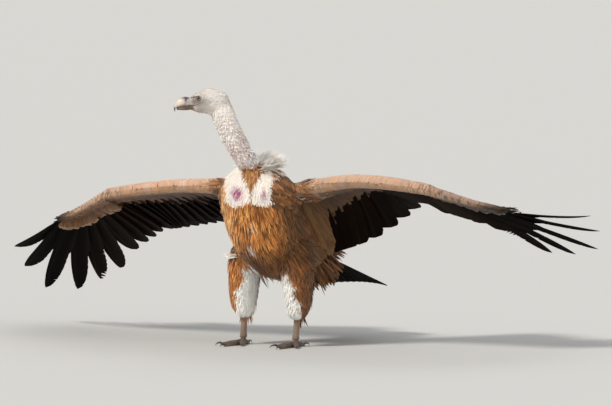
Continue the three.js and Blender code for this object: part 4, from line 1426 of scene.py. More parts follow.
# ---------- shanks, toes and claws ----------
# Bare grey-pink skin under overlapping plates, in front of the shank and along each toe, with
# grained pads below. The claws are blunt dark horn.
PLATE_PITCH, TOE_PLATE_PITCH = 6.2, 6.8
FOOT_CENTRE = (91, 14)


def from_ankle(p, sign):
    """Level distance from the axis of a shank."""
    return np.hypot(p[:, 0] - sign * FOOT_CENTRE[0], p[:, 1] - FOOT_CENTRE[1])


def bare_foot(word, sign):
    piece = copy_of(f"bare_foot_{word}", f"shank_{word}", f"foot_{word}")
    finish_with(piece, "REMESH", mode="VOXEL", voxel_size=0.0017)
    relax(piece, 5)
    # the ankle runs into the toes without a ledge
    p = local(corners(piece.data))
    near = ramp(from_ankle(p, sign), 27, 19) * ramp(p[:, 2], 8, 16) * ramp(p[:, 2], 58, 40)
    group = piece.vertex_groups.new(name="ankle")
    for k in np.flatnonzero(near > 0.02):
        group.add([int(k)], float(near[k]), "REPLACE")
    finish_with(piece, "SMOOTH", factor=0.7, iterations=26, vertex_group="ankle")
    co, n = corners(piece.data), corner_normals(piece.data)
    p = local(co)
    reach = from_ankle(p, sign)
    on_shank = ramp(p[:, 2], 22, 32)
    plates = np.abs(np.sin(p[:, 2] * math.pi / PLATE_PITCH)) ** 0.6
    rows = np.abs(np.sin((reach - 14) * math.pi / TOE_PLATE_PITCH)) ** 0.6
    facing = ramp(-n[:, 1], 0.1, 0.7)
    above = ramp(n[:, 2], 0.25, 0.75) * ramp(p[:, 2], 5, 9) * ramp(reach, 16, 24)
    push = 0.62 * plates * on_shank * facing + 0.62 * rows * above * (1 - on_shank)
    pads = ramp(p[:, 2], 7, 3) * ramp(p[:, 2], 0.4, 2) * np.sin(reach * 0.42) * 0.5
    move_corners(piece.data, co + n * ((push + pads) / 1000)[:, None])
    shank, toe, groove, pad = paint("#9c8270", "#6f6056", "#4c4037", "#7c6e63")
    tone = layered(
        plain(toe, len(p)),
        (shank, ramp(p[:, 2], 14, 40)),
        (pad, ramp(p[:, 2], 8, 3)),
        (groove, 0.7 * (1 - plates) * on_shank * facing),
        (groove, 0.7 * (1 - rows) * above * (1 - on_shank)),
    )
    put_tone(piece.data, tone * (1 + 0.12 * wander(p, 18, 71))[:, None])
    smooth(piece)
    return piece


def scaly_finish():
    """Small raised scales between the plates, darker in their seams."""
    material, tree, shader, mottle = finish_named("scaly_skin", 0.55, 0.35, (70.0, 800.0, 0.4))
    cells = node(tree, "TexVoronoi", feature="DISTANCE_TO_EDGE", Scale=330.0)
    tree.links.new(node(tree, "TexCoord").outputs["Object"], cells.inputs["Vector"])
    seam = node(tree, "MapRange", interpolation_type="SMOOTHSTEP", From_Min=0.0, From_Max=0.14)
    tree.links.new(cells.outputs["Distance"], seam.inputs["Value"])
    gain = maths(tree, "MULTIPLY_ADD", seam.outputs["Result"], 0.35, 0.65)
    tree.links.new(shaded(tree, mottle.outputs["Tone"], gain), shader.inputs["Base Color"])
    height = maths(tree, "MULTIPLY_ADD", mottle.outputs["Height"], 0.25, seam.outputs["Result"])
    bumped(tree, shader, height, 0.5, 0.0007)
    return material


scaly_skin = scaly_finish()
claw_horn = horn_finish("claw_horn", 0.38, 900.0, 0.5)
CLAW_BASE, CLAW_POINT = paint("#4a4038", "#1d1a18")
for sign, word in ((1, "left"), (-1, "right")):
    settle(bare_foot(word, sign), scaly_skin, "leg_skin", f"shank_{word}", f"foot_{word}")
    claws = [f"claw_{toe}_{word}" for toe in ("inner", "middle", "outer", "hind")]
    horn = copy_of(f"claws_{word}", *claws)
    finish_with(horn, "SUBSURF", levels=2, render_levels=2)
    p = local(corners(horn.data))
    tone = blend(plain(CLAW_BASE, len(p)), CLAW_POINT, ramp(p[:, 2], 12, 4))
    put_tone(horn.data, tone * (1 + 0.15 * np.sin(from_ankle(p, sign) * 2.1))[:, None])
    smooth(horn, 60)
    settle(horn, claw_horn, "claw_horn", *claws)


# ---------- wings: frame ----------
# Each wing hangs from shoulder, elbow and wrist. Every row of coverts and quills reads its place
# from the same few sizes, in millimetres and degrees.
SHOULDER = [95, -42, 478]
UPPER_ARM, FOREARM, HAND_LENGTH, ELBOW, LEAD_BULGE = 260, 340, 230, 0.42, 16
# [share of the arm or hand, chord, thickness, thickness at the rear]
ARM_SHAPE = [[-0.04, 165, 46, 6], [0.2, 215, 42, 5], [0.42, 248, 38, 4.5], [0.7, 205, 36, 4.5],
             [1, 132, 31, 6]]
HAND_SHAPE = [[0, 132, 31, 6], [0.35, 122, 23, 7], [0.7, 104, 17, 8], [1.1, 76, 10, 7]]
# [share of the chord, height as a share of the thickness]
ARM_TOP = [[0, 0], [0.04, 0.4], [0.14, 0.62], [0.34, 0.56], [0.66, 0.36], [1, 0]]
ARM_UNDER = [[0, 0], [0.04, -0.28], [0.14, -0.4], [0.34, -0.28], [0.66, -0.1], [1, 0]]
# primaries [number, sweep, dip, reach from the wrist, sag], and inner quills
# [share of their bone, sweep, dip, length]
WINGS = {
    "left": {
        "side": 1, "wrist": [583, -69, 484], "bow": 22, "hand": [50, 15], "pitch": [4, 12],
        "primaries": [[1, 97, 13.5, 400, 0], [4, 91, 14.5, 460, 0], [5, 87, 16.5, 560, 0],
                      [6, 80.5, 19, 650, 0], [7, 74, 18.5, 675, 4], [8, 67.5, 16.5, 690, 8],
                      [9, 62, 12.5, 635, 17], [10, 57, 9, 560, 22]],
        "secondaries": [[0, 90, 8, 350], [0.5, 91.5, 8.5, 370], [0.85, 95, 11.5, 380],
                        [1, 97, 13, 380]],
        "tertials": [[0.08, 92, 45, 300], [0.5, 90, 31, 320], [0.8, 90, 17, 335], [1, 90, 8, 350]],
    },
    "right": {
        "side": -1, "wrist": [-587, 16, 441], "bow": 12, "hand": [22, 20], "pitch": [4, 7],
        "primaries": [[1, 81, 18.5, 430, 0], [4, 67.5, 21.5, 545, 0], [5, 63, 26, 595, 0],
                      [6, 56.5, 27.5, 645, 0], [7, 49.5, 29, 685, 0], [8, 40, 28, 695, 6],
                      [9, 34.5, 22, 690, 20], [10, 29, 18, 620, 26]],
        "secondaries": [[0, 92, 15, 350], [0.5, 90, 16, 370], [0.85, 86, 17.5, 390],
                        [1, 83, 18.5, 390]],
        "tertials": [[0.08, 96, 28, 300], [0.5, 94, 21, 320], [0.8, 93, 17, 335], [1, 92, 15, 350]],
    },
}


def heading(side, sweep, dip):
    """The way out from the body, swept back and dipping by angles in degrees."""
    s, d = np.radians(sweep), np.radians(dip)
    return np.stack([side * np.cos(s) * np.cos(d), np.sin(s) * np.cos(d), -np.sin(d)], -1)


class Wing:
    """Where the bones, the leading edge and each row of feathers of one wing lie."""

    def __init__(self, word):
        self.word, spec = word, WINGS[word]
        self.spec, self.side = spec, spec["side"]
        self.shoulder = np.array(SHOULDER, float) * [self.side, 1, 1]
        self.wrist = np.array(spec["wrist"], float)
        line = self.wrist - self.shoulder
        span = np.linalg.norm(line)
        line /= span
        along = (UPPER_ARM**2 + span**2 - FOREARM**2) / (2 * span)
        back = np.array([0, 1, -0.04])
        back = unit(back - line * (back @ line))
        self.elbow = self.shoulder + line * along + back * math.sqrt(UPPER_ARM**2 - along**2)
        self.hand_way = heading(self.side, *spec["hand"])

    def tip(self, s):
        """Far end of the tertial or secondary that starts at share s of the arm."""
        s = np.atleast_1d(s)
        inner = s < ELBOW
        share = np.where(inner, s / ELBOW, (s - ELBOW) / (1 - ELBOW))
        aim = np.where(inner[:, None], track(self.spec["tertials"], share),
                       track(self.spec["secondaries"], share))
        near = np.where(inner[:, None], self.shoulder, self.elbow)
        far = np.where(inner[:, None], self.elbow, self.wrist)
        bone = near + (far - near) * share[:, None]
        return bone + heading(self.side, aim[:, 0], aim[:, 1]) * aim[:, 2:3]

    def reach(self, number):
        """Tip of a primary."""
        aim = track(self.spec["primaries"], number)
        return self.wrist + heading(self.side, aim[:, 0], aim[:, 1]) * aim[:, 2:3]

    def arm(self, s):
        """Leading edge, way of the chord, chord, thickness and rear thickness along the arm."""
        chord, thick, rear = track(ARM_SHAPE, s).T
        lead = self.shoulder + (self.wrist - self.shoulder) * s[:, None]
        lead[:, 2] += self.spec["bow"] * np.sin(np.pi * s)
        lead[:, 1] -= LEAD_BULGE * np.sin(np.pi * np.minimum(s, 0.96))
        way = unit(self.tip(s) - lead)
        way[:, 2] *= 0.6
        return lead, unit(way), chord, thick, rear

    def hand(self, s):
        """The same along the hand."""
        chord, thick, rear = track(HAND_SHAPE, s).T
        lead = self.wrist + self.hand_way * (HAND_LENGTH * s)[:, None]
        way = unit(self.reach(1 + 9 * np.minimum(s, 1)) - lead)
        return lead, way, chord, thick, rear

    def slice(self, s):
        """Arm for s up to 1, hand for s from 1 to 2.1."""
        on_arm = (s <= 1)[:, None]
        a, h = self.arm(np.clip(s, -0.04, 1)), self.hand(np.clip(s - 1, 0, 1.1))
        return [np.where(on_arm if x.ndim == 2 else on_arm[:, 0], x, y) for x, y in zip(a, h)]

    def surface(self, s, c, top):
        """Point of the arm's or hand's outline at share c of the chord, above or below."""
        lead, way, chord, thick, rear = self.slice(s)
        up = unit(np.array([0, 0, 1.0]) - way * way[:, 2:3])
        shape = np.array(ARM_TOP if top else ARM_UNDER)
        rise = np.interp(c, shape[:, 0], shape[:, 1]) * thick
        rise = rise + (1 if top else -1) * rear / 2 * c
        return lead + way * (chord * c)[:, None] + up * rise[:, None]

    def covert_roots(self, s, c, top):
        """Roots, outward normals and rearward lie for coverts at those places."""
        step = 0.012
        here = self.surface(s, c, top)
        across = self.surface(s, np.clip(c + step, 0, 1), top) - self.surface(
            s, np.clip(c - step, 0, 1), top)
        along = self.surface(s + step, c, top) - self.surface(s - step, c, top)
        normal = unit(np.cross(across, along)) * (1 if top else -1) * -self.side
        flip = np.where(normal[:, 2] * (1 if top else -1) < -0.2, -1, 1)[:, None]
        return here, normal * np.where(c[:, None] > 0.1, flip, 1), unit(across)


wings = [Wing("left"), Wing("right")]


# ---------- wings: coverts ----------
# Overlapping rows from the leading edge back, short and soft in front, long at the rear. Below,
# the front rows are sandy, the next brown, and the last row is grey-brown with pale rims.
# [share of the chord at the root, length, half width, tone] for each row
TOP_TONES = paint("#d6a989", "#bb9073", "#8b6750", "#6c503e", "#4a3628")
UNDER_TONES = paint("#d2a37d", "#a67a56", "#63452c", "#4f3722", "#41322a")
FRONT_ROWS = [[0.018 * k, 15 + k, 3.4 + 0.16 * k] for k in range(7)]
TOP_ROWS = [[*row, min(k // 4, 1)] for k, row in enumerate(FRONT_ROWS)] + [
    [0.13, 27, 6.5, 1], [0.16, 30, 8, 1], [0.215, 34, 9.5, 1], [0.28, 38, 11, 2],
    [0.35, 46, 13, 2], [0.43, 56, 15, 3], [0.52, 82, 17, 4]]
UNDER_ROWS = [[*row, k // 3] for k, row in enumerate(FRONT_ROWS)] + [
    [0.135, 22, 5.6, 2], [0.18, 24, 6.2, 2], [0.23, 27, 7, 2], [0.29, 30, 8.5, 2],
    [0.36, 36, 10, 3], [0.44, 44, 12, 3], [0.54, 60, 13, 4]]


def covert_rows(wing, top, seed):
    """Roots and sizes for all covert rows of one face of a wing."""
    draw = np.random.default_rng(seed)
    found = []
    for number, (share, length, half, tone) in enumerate(TOP_ROWS if top else UNDER_ROWS):
        pitch = half * 1.02
        spans = ((0.05, 1.0, np.linalg.norm(wing.wrist - wing.shoulder)), (1.0, 2.03, HAND_LENGTH))
        for first, last, size in spans:
            count = int((last - first) * size / pitch)
            s = first + (np.arange(count) + 0.5 * (number % 2)) / count * (last - first)
            s = s + draw.normal(size=count) * 0.5 * pitch / size
            c = np.clip(share + 0.011 * draw.normal(size=count), 0, 0.9)
            found.append(np.column_stack([s, c, np.full(count, length), np.full(count, half),
                                          np.full(count, tone), np.full(count, number)]))
    return np.concatenate(found), draw


# [height, outward place] of the line where the brown lining of the left wing turns black
BLACK_LINE = np.array([[200, 196], [278, 198], [398, 208], [435, 256], [461, 350], [480, 420]])


def past_lining(wing, p):
    """1 beyond the brown lining under the left wing, where its quills are black."""
    line = np.interp(p[..., 2], *BLACK_LINE.T)
    under = (wing.side > 0) & (p[..., 0] < 560) & (p[..., 1] > -52)
    return ramp(to_the_right(p) - line, -7, 7) * under


def blackened(wing, spine, tones, row):
    """Darkens the feathers that lie beyond that lining, with the given row of their spine, to the
    quills' near black, which is their own colour made darker still as painted shade.
    """
    return blend(tones, paint("#0e0b08"), past_lining(wing, spine)[:, row:row + 1])


def sized_coverts(wing, top, seed):
    """Spines, normals, half widths and tones of all coverts of one face of a wing."""
    rows, draw = covert_rows(wing, top, seed)
    s, c, length, half, tone, _ = rows.T
    n = len(rows)
    front, right = tone < 2, wing.side < 0
    chord = wing.slice(s)[2]
    root, normal, rear = wing.covert_roots(s, c, top)
    # in front the feathers lean outwards, further back they follow the quills
    lean = 0.4 * ramp(c, 0.5, 0.0) + 0.12 + 0.7 * ramp(s, 1.7, 2.05)
    lie = along_skin(rear + np.array([wing.side, 0, 0]) * lean[:, None], normal)
    lie = turned(lie, normal, 8 * draw.normal(size=n) + 8 * wander(root, 40, 62))
    shrink = np.clip(chord / 190, 0.55, 1.15)
    run = length * shrink * draw.uniform(0.8, 1.2, n)
    full = 1.045 - 0.04 * (not top and right) * ramp(s, 0.6, 0.9)
    run = np.minimum(run, chord * (full - c)) * (1 - 0.45 * ramp(s, 1.75, 2.05))
    t, shape = np.array(ROUND)
    lift = 1.6 + 2.4 * ramp(length, 20, 60)
    height = -2.2 + (lift * draw.uniform(0.7, 1.3, n) + 1.4)[:, None] * t**0.7
    # vanes follow the outline of the wing from row to row
    reach = np.clip(c[:, None] + run[:, None] * t * 0.97 / chord[:, None], 0, 1)
    places = np.repeat(s, len(t))
    carried = wing.surface(places, reach.ravel(), top) - wing.surface(
        places, np.repeat(c, len(t)), top)
    sideways = lie - rear * (lie * rear).sum(1, keepdims=True)
    up = np.repeat(normal[:, None], len(t), 1)
    spine = straight(root, sideways, run, t) + carried.reshape(n, -1, 3) + up * height[..., None]
    half = half * (1 - 0.5 * ramp(s, 1.7, 2.05)) / 1000
    wide = half * np.sqrt(shrink) * draw.uniform(0.85, 1.2, n)
    tones = (TOP_TONES if top else UNDER_TONES)[tone.astype(int)]
    if top:
        tones = blend(tones, paint("#8f7766"), 0.6 * ramp(s, 1.2, 1.9))
    else:
        tones = layered(
            tones,
            (paint("#956338"), 0.5 * ramp(s, 0.6, 1.1) * right * ~front),
            (paint("#704c30"), ramp(s, 0.34, 0.1) * ~front),
        )
    worn = draw.random(n) > 0.72
    tones = layered(
        tones,
        (paint("#eadfd4"), 0.16 * ramp(wander(root, 26, 61), 0.3, 1.0) * front),
        (paint("#a08b7e"), ((0.08 if right else 0.32) + 0.3 * ramp(s, 0.6, 1.2)) * front),
        (paint("#54433a"), 0.6 * ramp(s, 0.7, 1.0) * (worn & front)),
        (paint("#8a5f3b"), 0.75 * ramp(s, 0.2, 0.04)),
        (paint("#2c221b"), 0.9 * ramp(s, *((1.72, 2.0) if top or right else (1.5, 1.85)))),
    )
    if not top and not right:
        fleck = 1.5 * hill(to_the_right(root) - 112, root[:, 2] - 454, 28, 9)
        tones = blend(tones, CROP_WHITE, np.clip(fleck, 0, 1) * (draw.random(n) > 0.4))
    tones = varied(tones, draw, np.where(front, 0.08, 0.2)[:, None])
    # each feather is darker where the next row shades it; the rear row below has pale rims
    root_shade = np.where(front, 0.12, 0.42)[:, None] * ramp(t, 0.8, 0.25)
    tones = tones[:, None] * (1 - root_shade)[..., None]
    if not top:
        rim = ramp(t, 0.8, 0.97) * (tone == 4)[:, None] * 0.6
        tones = blackened(wing, spine, blend(tones, paint("#b79f86"), rim), 3)
    return placed(spine), up, wide[:, None] * shape, tones


top_finish = plumage("upper_coverts", 14.0, 0.4, shaft=-0.12, edge=("#b08c69", 0.3),
                     tip=("#bd9a76", 0.3))
under_finish = plumage("under_coverts", 11.0, 0.45, shaft=-0.1, edge=("#a88a6c", 0.15),
                       tip=("#b59a7d", 0.14))
for wing in wings:
    for top, face, finish, seed in ((True, "upper", top_finish, 51),
                                    (False, "under", under_finish, 52)):
        spine, up, wide, tones = sized_coverts(wing, top, seed + 10 * wing.side)
        grow_vanes(f"coverts_{face}_{wing.word}", spine, up, wide, 0.16, tones, finish,
                   "covert_plumage", seed)

# Below, a last loose layer lies over the roots of the quills. It is longest in the armpit,
# where it closes the gap to the flank. [share of the arm and hand, share of the quill covered]
QUILL_COVERTS = {
    "left": [[0, 0.98], [0.06, 0.96], [0.1, 0.62], [0.16, 0.36], [0.24, 0.2], [0.34, 0.1],
             [0.46, 0.04]],
    "right": [[0, 0.8], [0.1, 0.5], [0.2, 0.36], [0.34, 0.26], [0.6, 0.2], [0.8, 0.08], [1, 0.01],
              [1.5, -0.01], [1.88, -0.03]],
}
QUILL_COVERT_COUNT = 1500
# the quills' own blackish browns, made darker still as painted shade for the shaded undersides of
# the wings
SHADED_REMEX, SHADED_REMEX_BROWN, SHADED_REMEX_INNER = paint("#0b0907", "#2a1b10", "#170f0a")


def quill_coverts(wing):
    draw = np.random.default_rng(66 + wing.side)
    n, right = QUILL_COVERT_COUNT, wing.side < 0
    table = np.array(QUILL_COVERTS[wing.word], float)
    s = table[-1, 0] * draw.random(n) ** (1.05 if right else 1.35)
    c = draw.uniform(0.45, 0.97, n)
    root, normal, _ = wing.covert_roots(s, c, False)
    rear = wing.surface(s, np.ones(n), False)
    tips = np.where((s <= 1)[:, None], wing.tip(np.minimum(s, 1)), wing.reach(9 * s - 8))
    whole = np.interp(s, *table.T) * draw.uniform(0.15, 1.03, n) ** 0.7
    stray = (5 - 2.5 * ramp(s, 0.7, 1))[:, None] * draw.normal(size=(n, 3))
    end = rear + (tips - rear) * whole[:, None] + stray
    # feathers of the brown lining stop where the black quills start
    steps = np.linspace(0.15, 1, 24)
    inside = past_lining(wing, root[:, None] + (end - root)[:, None] * steps[:, None]) < 0.5
    stop = np.where(inside[:, 0] & ~inside.all(1), steps[np.argmin(inside, 1)], 1)
    end = root + (end - root) * (stop * draw.uniform(0.86, 1.04, n))[:, None]
    t, wide = np.array(ROUND)
    up = np.repeat(normal[:, None], len(t), 1)
    low = (2.5 + 6 * draw.random(n))[:, None] * t**0.5
    spine = root[:, None] + (end - root)[:, None] * t[:, None] + up * low[..., None]
    half = draw.uniform(6, 9.5, n)[:, None] / 1000 * wide
    armpit = ramp(s, 0.16, 0.04) * draw.uniform(0.35, 1, n)
    tone = layered(
        plain(paint("#58391f"), n),
        (paint("#936a40"), armpit),
        (paint("#7d5535"), ramp(s, 0.5, 0.8) * right),
    )
    black = 0.55 * right * (ramp(s, 0.08, 0.2) * ramp(s, 0.85, 0.6))[:, None]
    rim = ramp(t, 0.8, 0.96) * (0.7 * ramp(s, 0.6, 0.85) * right)[:, None]
    tone = layered(
        shaded_at_root(varied(tone, draw, 0.16), t, 0.4),
        (SHADED_REMEX, black * ramp(t, 0.3, 0.9)),
        (paint("#c3a88c"), rim),
    )
    grow_vanes(f"quill_coverts_{wing.word}", placed(spine), up, half, 0.16,
               blackened(wing, spine, tone, 1), under_finish, "covert_plumage", 66)


for wing in wings:
    quill_coverts(wing)


# ---------- wings and tail: quills ----------
# Stiff flight feathers: a shaft with a narrow leading vane and a broad trailing one, cambered,
# with split barbs along the edges. The outer primaries narrow to fingers beyond a notch.
VANE_THICKNESS = 0.0006


def quill_mesh(centre, fore, up, lead, trail, shaft, camber, skew, chance, tone):
    """One closed quill along centre, in local millimetres; lead and trail are its half vanes."""
    centre = placed(centre)
    rows = len(centre)
    across = np.column_stack([lead, lead * 0.55, shaft, 0 * lead, -shaft, -trail * 0.3,
                              -trail * 0.66, -trail])
    span = np.maximum(lead + trail, 1e-5)[:, None]
    drop = -camber * span * (across / span) ** 2 * 2
    ridge = np.zeros_like(across)
    ridge[:, 3] = shaft
    ridge[:, [2, 4]] = 0.25 * shaft[:, None]
    way = unit(np.gradient(centre, axis=0))
    side = unit(fore - way * (fore * way).sum(1, keepdims=True))
    lift = np.cross(way, side)
    lift *= np.sign((lift * up).sum(1, keepdims=True))
    ahead = skew * np.abs(across) * np.linspace(1, 0.25, rows)[:, None]
    base = centre[:, None] + side[:, None] * across[..., None] + way[:, None] * ahead[..., None]
    over = base + lift[:, None] * (drop + ridge + VANE_THICKNESS / 2)[..., None]
    under = base + lift[:, None] * (drop - ridge * 1.1 - VANE_THICKNESS / 2)[..., None]
    ring = np.concatenate([over, under[:, ::-1]], 1)
    per = ring.shape[1]
    co = ring.reshape(-1, 3)
    # each end is closed by a strip between its upper and lower side
    j = np.arange(per // 2 - 1)
    strip = np.stack([j, per - 2 - j, j + 1, j, per - 1 - j, per - 2 - j], 1).reshape(-1, 3)
    far = strip[:, [0, 2, 1]] + (rows - 1) * per
    tri = outward(co, np.concatenate([tube_wall(rows, per), strip, far]))
    sway = np.concatenate([across, across[:, ::-1]], 1) / np.maximum(lead.max(), trail.max())
    down_it = np.repeat(np.linspace(0, 1, rows)[:, None], per, 1)
    vane = np.stack([sway, down_it, np.full_like(sway, chance)], 2).reshape(-1, 3)
    return tri, co, plain(tone, len(co)), vane, patch_at(co[:1], vane[None])[0]


def join_quills(name, quills, *nodes):
    """Makes one piece of several quills."""
    tri, *values = zip(*quills)
    first = np.cumsum([0, *(len(co) for co in values[0])])
    tri = np.concatenate([faces + start for faces, start in zip(tri, first)])
    values = [np.concatenate(rows) for rows in values]
    feather_piece(name, tri, *values, 55, quill_finish, "flight_plumage", *nodes)


def quill_frame(way, side, pitch):
    """Upward and forward directions square to a quill, then the same turned by its pitch."""
    flat = unit(np.array([0, 0, 1.0]) - way * way[2])
    front = unit(np.cross(way, flat)) * side
    turn = math.radians(pitch)
    fore = front * math.cos(turn) + flat * math.sin(turn)
    return flat, front, fore, flat * math.cos(turn) - front * math.sin(turn)


def split_rows(rows, draw, splits, t_from):
    """Row places from 0 to 1, with a pinched trio wherever the barbs part."""
    marks = np.sort(draw.uniform(t_from, 0.95, splits))
    trios = [mark + step for mark in marks for step in (-0.003, 0, 0.007)]
    return np.sort([*np.linspace(0, 1, rows), *trios]), marks


def uncut(t, marks, depth, draw):
    """Share of the vane that its splits leave at each row, least at the marks."""
    gone = np.zeros(len(t))
    for mark in marks:
        deep = depth * draw.uniform(0.3, 1.0)
        gone = np.maximum(gone, deep * np.clip(1 - np.abs(t - mark) / 0.004, 0, 1))
    return 1 - gone


def rounded_tip(t, start, power=2.2, least=0.0012, bend=0.5):
    """Share of a quill's width at each row: 1, then rounding off beyond the start."""
    return np.clip(1 - (np.clip(t - start, 0, 1) / (1 - start)) ** power, least, 1) ** bend


quill_finish = plumage("flight_plumage", 60.0, 0.45, shaft=0.9, edge=("#33261b", 0.3),
                       roughness=0.7, specular=0.02, sheen=0.0, bump=0.25)
# [number, width of the broad part, width of the finger]
PRIMARY_WIDTHS = [[1, 84, 84], [4, 82, 78], [5, 76, 58], [7, 72, 47], [9, 64, 42], [10, 50, 36]]
# the fingers of the left hand are turned edge-on and have worn narrower
FINGER_SHARE, TIP_FROM = {"left": 0.66, "right": 1.3}, {"left": 0.66, "right": 0.56}
PRIMARY_ARCH, PRIMARY_BOW, PRIMARY_TUCK, PRIMARY_RISE = 20, 26, 42, (2, -6)


def primary(wing, number, draw):
    share = (number - 1) / 9
    lead_at, way_at, chord, _, _ = wing.hand(np.array([0.06 + (0.97 - 0.06) * share]))
    base = (lead_at + way_at * (chord - PRIMARY_TUCK)[:, None])[0]
    base[2] += PRIMARY_RISE[0] + (PRIMARY_RISE[1] - PRIMARY_RISE[0]) * share
    tip = wing.reach(number)[0]
    way = unit(tip - base)
    length = np.linalg.norm(tip - base)
    inmost, outmost = wing.spec["pitch"]
    flat, front, fore, up = quill_frame(way, wing.side, inmost + (outmost - inmost) * share)
    broad, finger = track(PRIMARY_WIDTHS, number)[0]
    if number > 4:
        finger = finger * FINGER_SHARE[wing.word]
    sag = track(wing.spec["primaries"], number)[0, 3]
    notch = 0.3 + 0.1 * (10 - number) / 5 if number > 4.5 else 0.6
    # one finger of each hand is worn to a comb along its rear edge
    frayed = number == (5 if wing.word == "left" else 6)
    t, marks = split_rows(84 if frayed else 26, draw, 1 if number > 4 else 0, notch + 0.15)
    wide = np.interp(t, [0, notch, notch + 0.1, 1], [broad * 0.7, broad, finger, finger])
    # the broad part ends in a soft shoulder, not a corner
    wide = wide - (wide - finger) * 0.15 * hill(t - notch, 0, 0.05, 1)
    start = TIP_FROM[wing.word] if 4 < number < 9 else 0.72
    w = wide * rounded_tip(t, start, 2, 0.0002, 0.6) / 1000
    rise = PRIMARY_ARCH * t * (1 - t) - sag * 1.6 * (t - t**2.2)
    c = base + way * (length * t)[:, None] + flat * rise[:, None]
    c = c + front * (PRIMARY_BOW * t * (1 - t))[:, None]
    narrowed = 1 - 0.25 * ramp(t, 0.1, notch) * (number > 4)
    lead = 0.3 * w * narrowed * uncut(t, marks[:1], 0.4, draw)
    trail = 0.68 * w * uncut(t, marks, 0.4, draw) * (1 + 0.02 * np.sin(t * 90 + number))
    if frayed:
        worn = (0.45, 0.55) if wing.side > 0 else (0.84, 0.9)
        trail *= 1 - 0.6 * (np.arange(len(t)) // 2 % 2) * ramp(t, *worn)
    chance = draw.random()
    brown = np.clip(1.15 - number / 6, 0, 1) * draw.uniform(0.6, 1)
    return quill_mesh(c, fore, up, lead, trail, (0.0021 - 0.0016 * t) * 0.9, 0.1, 0.35, chance,
                      SHADED_REMEX + (SHADED_REMEX_BROWN - SHADED_REMEX) * brown)


# open wings fan: the right one's inner quills slant outwards, the left one's towards the body
QUILL_SLANT = {"left": -0.11, "right": 0.13}


def inner_quill(wing, s, width, draw):
    """A secondary or tertial: broad, with a round tip."""
    lead_at, way_at, chord, _, _ = wing.arm(np.array([s]))
    base = (lead_at + way_at * (chord * 0.6)[:, None])[0]
    tip = wing.tip(s + QUILL_SLANT[wing.word] * float(ramp(s, 0, 0.3) * ramp(s, 1.0, 0.8)))[0]
    way = unit(tip - base)
    length = np.linalg.norm(tip - base)
    flat, front, fore, up = quill_frame(way, wing.side, 5.5)
    t, marks = split_rows(18, draw, 1, 0.7)
    w = width * np.interp(t, [0, 0.3, 0.8, 1], [0.75, 0.98, 1, 0.95])
    w = w * rounded_tip(t, 0.79) / 1000
    c = base + way * (length * t)[:, None] + flat * (8 * t * (1 - t))[:, None]
    c = c - front * (10 * t**2)[:, None]
    lead = 0.36 * w * uncut(t, marks[:1], 0.3, draw)
    trail = 0.64 * w * uncut(t, marks, 0.5, draw)
    return quill_mesh(c, fore, up, lead, trail, 0.0016 - 0.0011 * t, 0.1, 0.3, draw.random(),
                      SHADED_REMEX_INNER * draw.uniform(0.75, 1.3))


# [kind, number of quills, shares of the arm that they start between, width]
INNER_QUILLS = (("secondaries", 13, ELBOW, 0.995, 98), ("tertials", 6, 0.06, ELBOW, 100))


def wing_quills(wing):
    draw = np.random.default_rng(70 + wing.side)
    # an eleventh, inmost quill closes the wing at the wrist
    quills = [primary(wing, number, draw) for number in (10, 9, 8, 7, 6, 5, 4, 3, 2, 1, 0.4)]
    join_quills(f"primaries_{wing.word}", quills,
                *(f"primary_{number:02d}_{wing.word}" for number in range(1, 11)))
    for kind, count, first, last, width in INNER_QUILLS:
        places = first + (last - first) * (np.arange(count) + 0.5) / count
        quills = [inner_quill(wing, s, width, draw) for s in places]
        join_quills(f"{kind}_quills_{wing.word}", quills, f"{kind}_{wing.word}")


for wing in wings:
    wing_quills(wing)

# Three short stiff quills on the leading edge of each hand: [place back, length, width]
ALULA = [[0, 150, 30], [16, 118, 26], [30, 88, 22]]


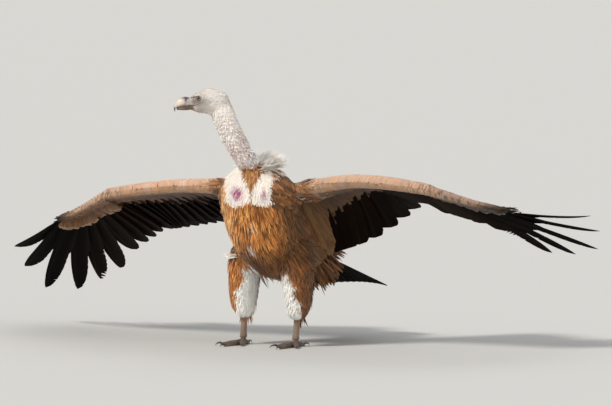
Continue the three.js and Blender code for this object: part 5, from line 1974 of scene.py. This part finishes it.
def alula(wing):
    draw = np.random.default_rng(90 + wing.side)
    quills = []
    for back, length, width in ALULA:
        share = np.array([1.1, 1.1 + length / HAND_LENGTH])
        base, far = wing.surface(share, np.array([0.26, 0.34]) + back / 150, True)
        base, way = base - [0, 0, 5], unit(far - [0, 0, 4] - base)
        flat, _, fore, up = quill_frame(way, wing.side, 0)
        t = np.linspace(0, 1, 16)
        w = width * np.interp(t, [0, 0.3, 1], [0.5, 1, 0.8]) * rounded_tip(t, 0.7) / 1000
        c = base + way * (length * t)[:, None] + flat * (4 * t * (1 - t))[:, None]
        quills.append(quill_mesh(c, fore, up, 0.34 * w, 0.6 * w, 0.0012 - 0.0008 * t, 0.14, 0.3,
                                 draw.random(), paint("#6c503e")))
    join_quills(f"alula_quills_{wing.word}", quills, f"alula_{wing.word}")


for wing in wings:
    alula(wing)

# Twelve tail feathers overlap from the middle pair outwards.
TAIL = {"root": [0, 262, 270], "yaw": 5, "dip": 21.5, "length": 304, "fan": 20, "count": 12,
        "width": 26}


def tail_quills():
    draw = np.random.default_rng(95)
    quills = []
    for off in 2 * (np.arange(TAIL["count"]) + 0.5) / TAIL["count"] - 1:
        way = heading(1, 90 - TAIL["yaw"] - TAIL["fan"] * off, TAIL["dip"])
        base = np.array(TAIL["root"], float) + [off * TAIL["width"], 0, 0]
        length = TAIL["length"] - 16 * off**2 - 2
        # the broad side faces the middle
        _, _, fore, up = quill_frame(way, np.sign(off), -4)
        t, marks = split_rows(20, draw, 4, 0.55)
        w = 50 * np.interp(t, [0, 0.3, 0.8, 1], [0.6, 0.9, 1, 0.9])
        w = w * rounded_tip(t, 0.88, 2) / 1000
        c = base + way * (length * t)[:, None]
        c[:, 2] += -10 * off**2 * t - 2.5 * abs(off) + 2
        trail = 0.6 * w * uncut(t, marks, 0.6, draw)
        quills.append(quill_mesh(c, fore, up, 0.4 * w, trail, 0.0016 - 0.0011 * t, 0.08, 0.35,
                                 draw.random(), SHADED_REMEX * draw.uniform(0.8, 1.3)))
    join_quills("tail_quills", quills, "tail")


tail_quills()
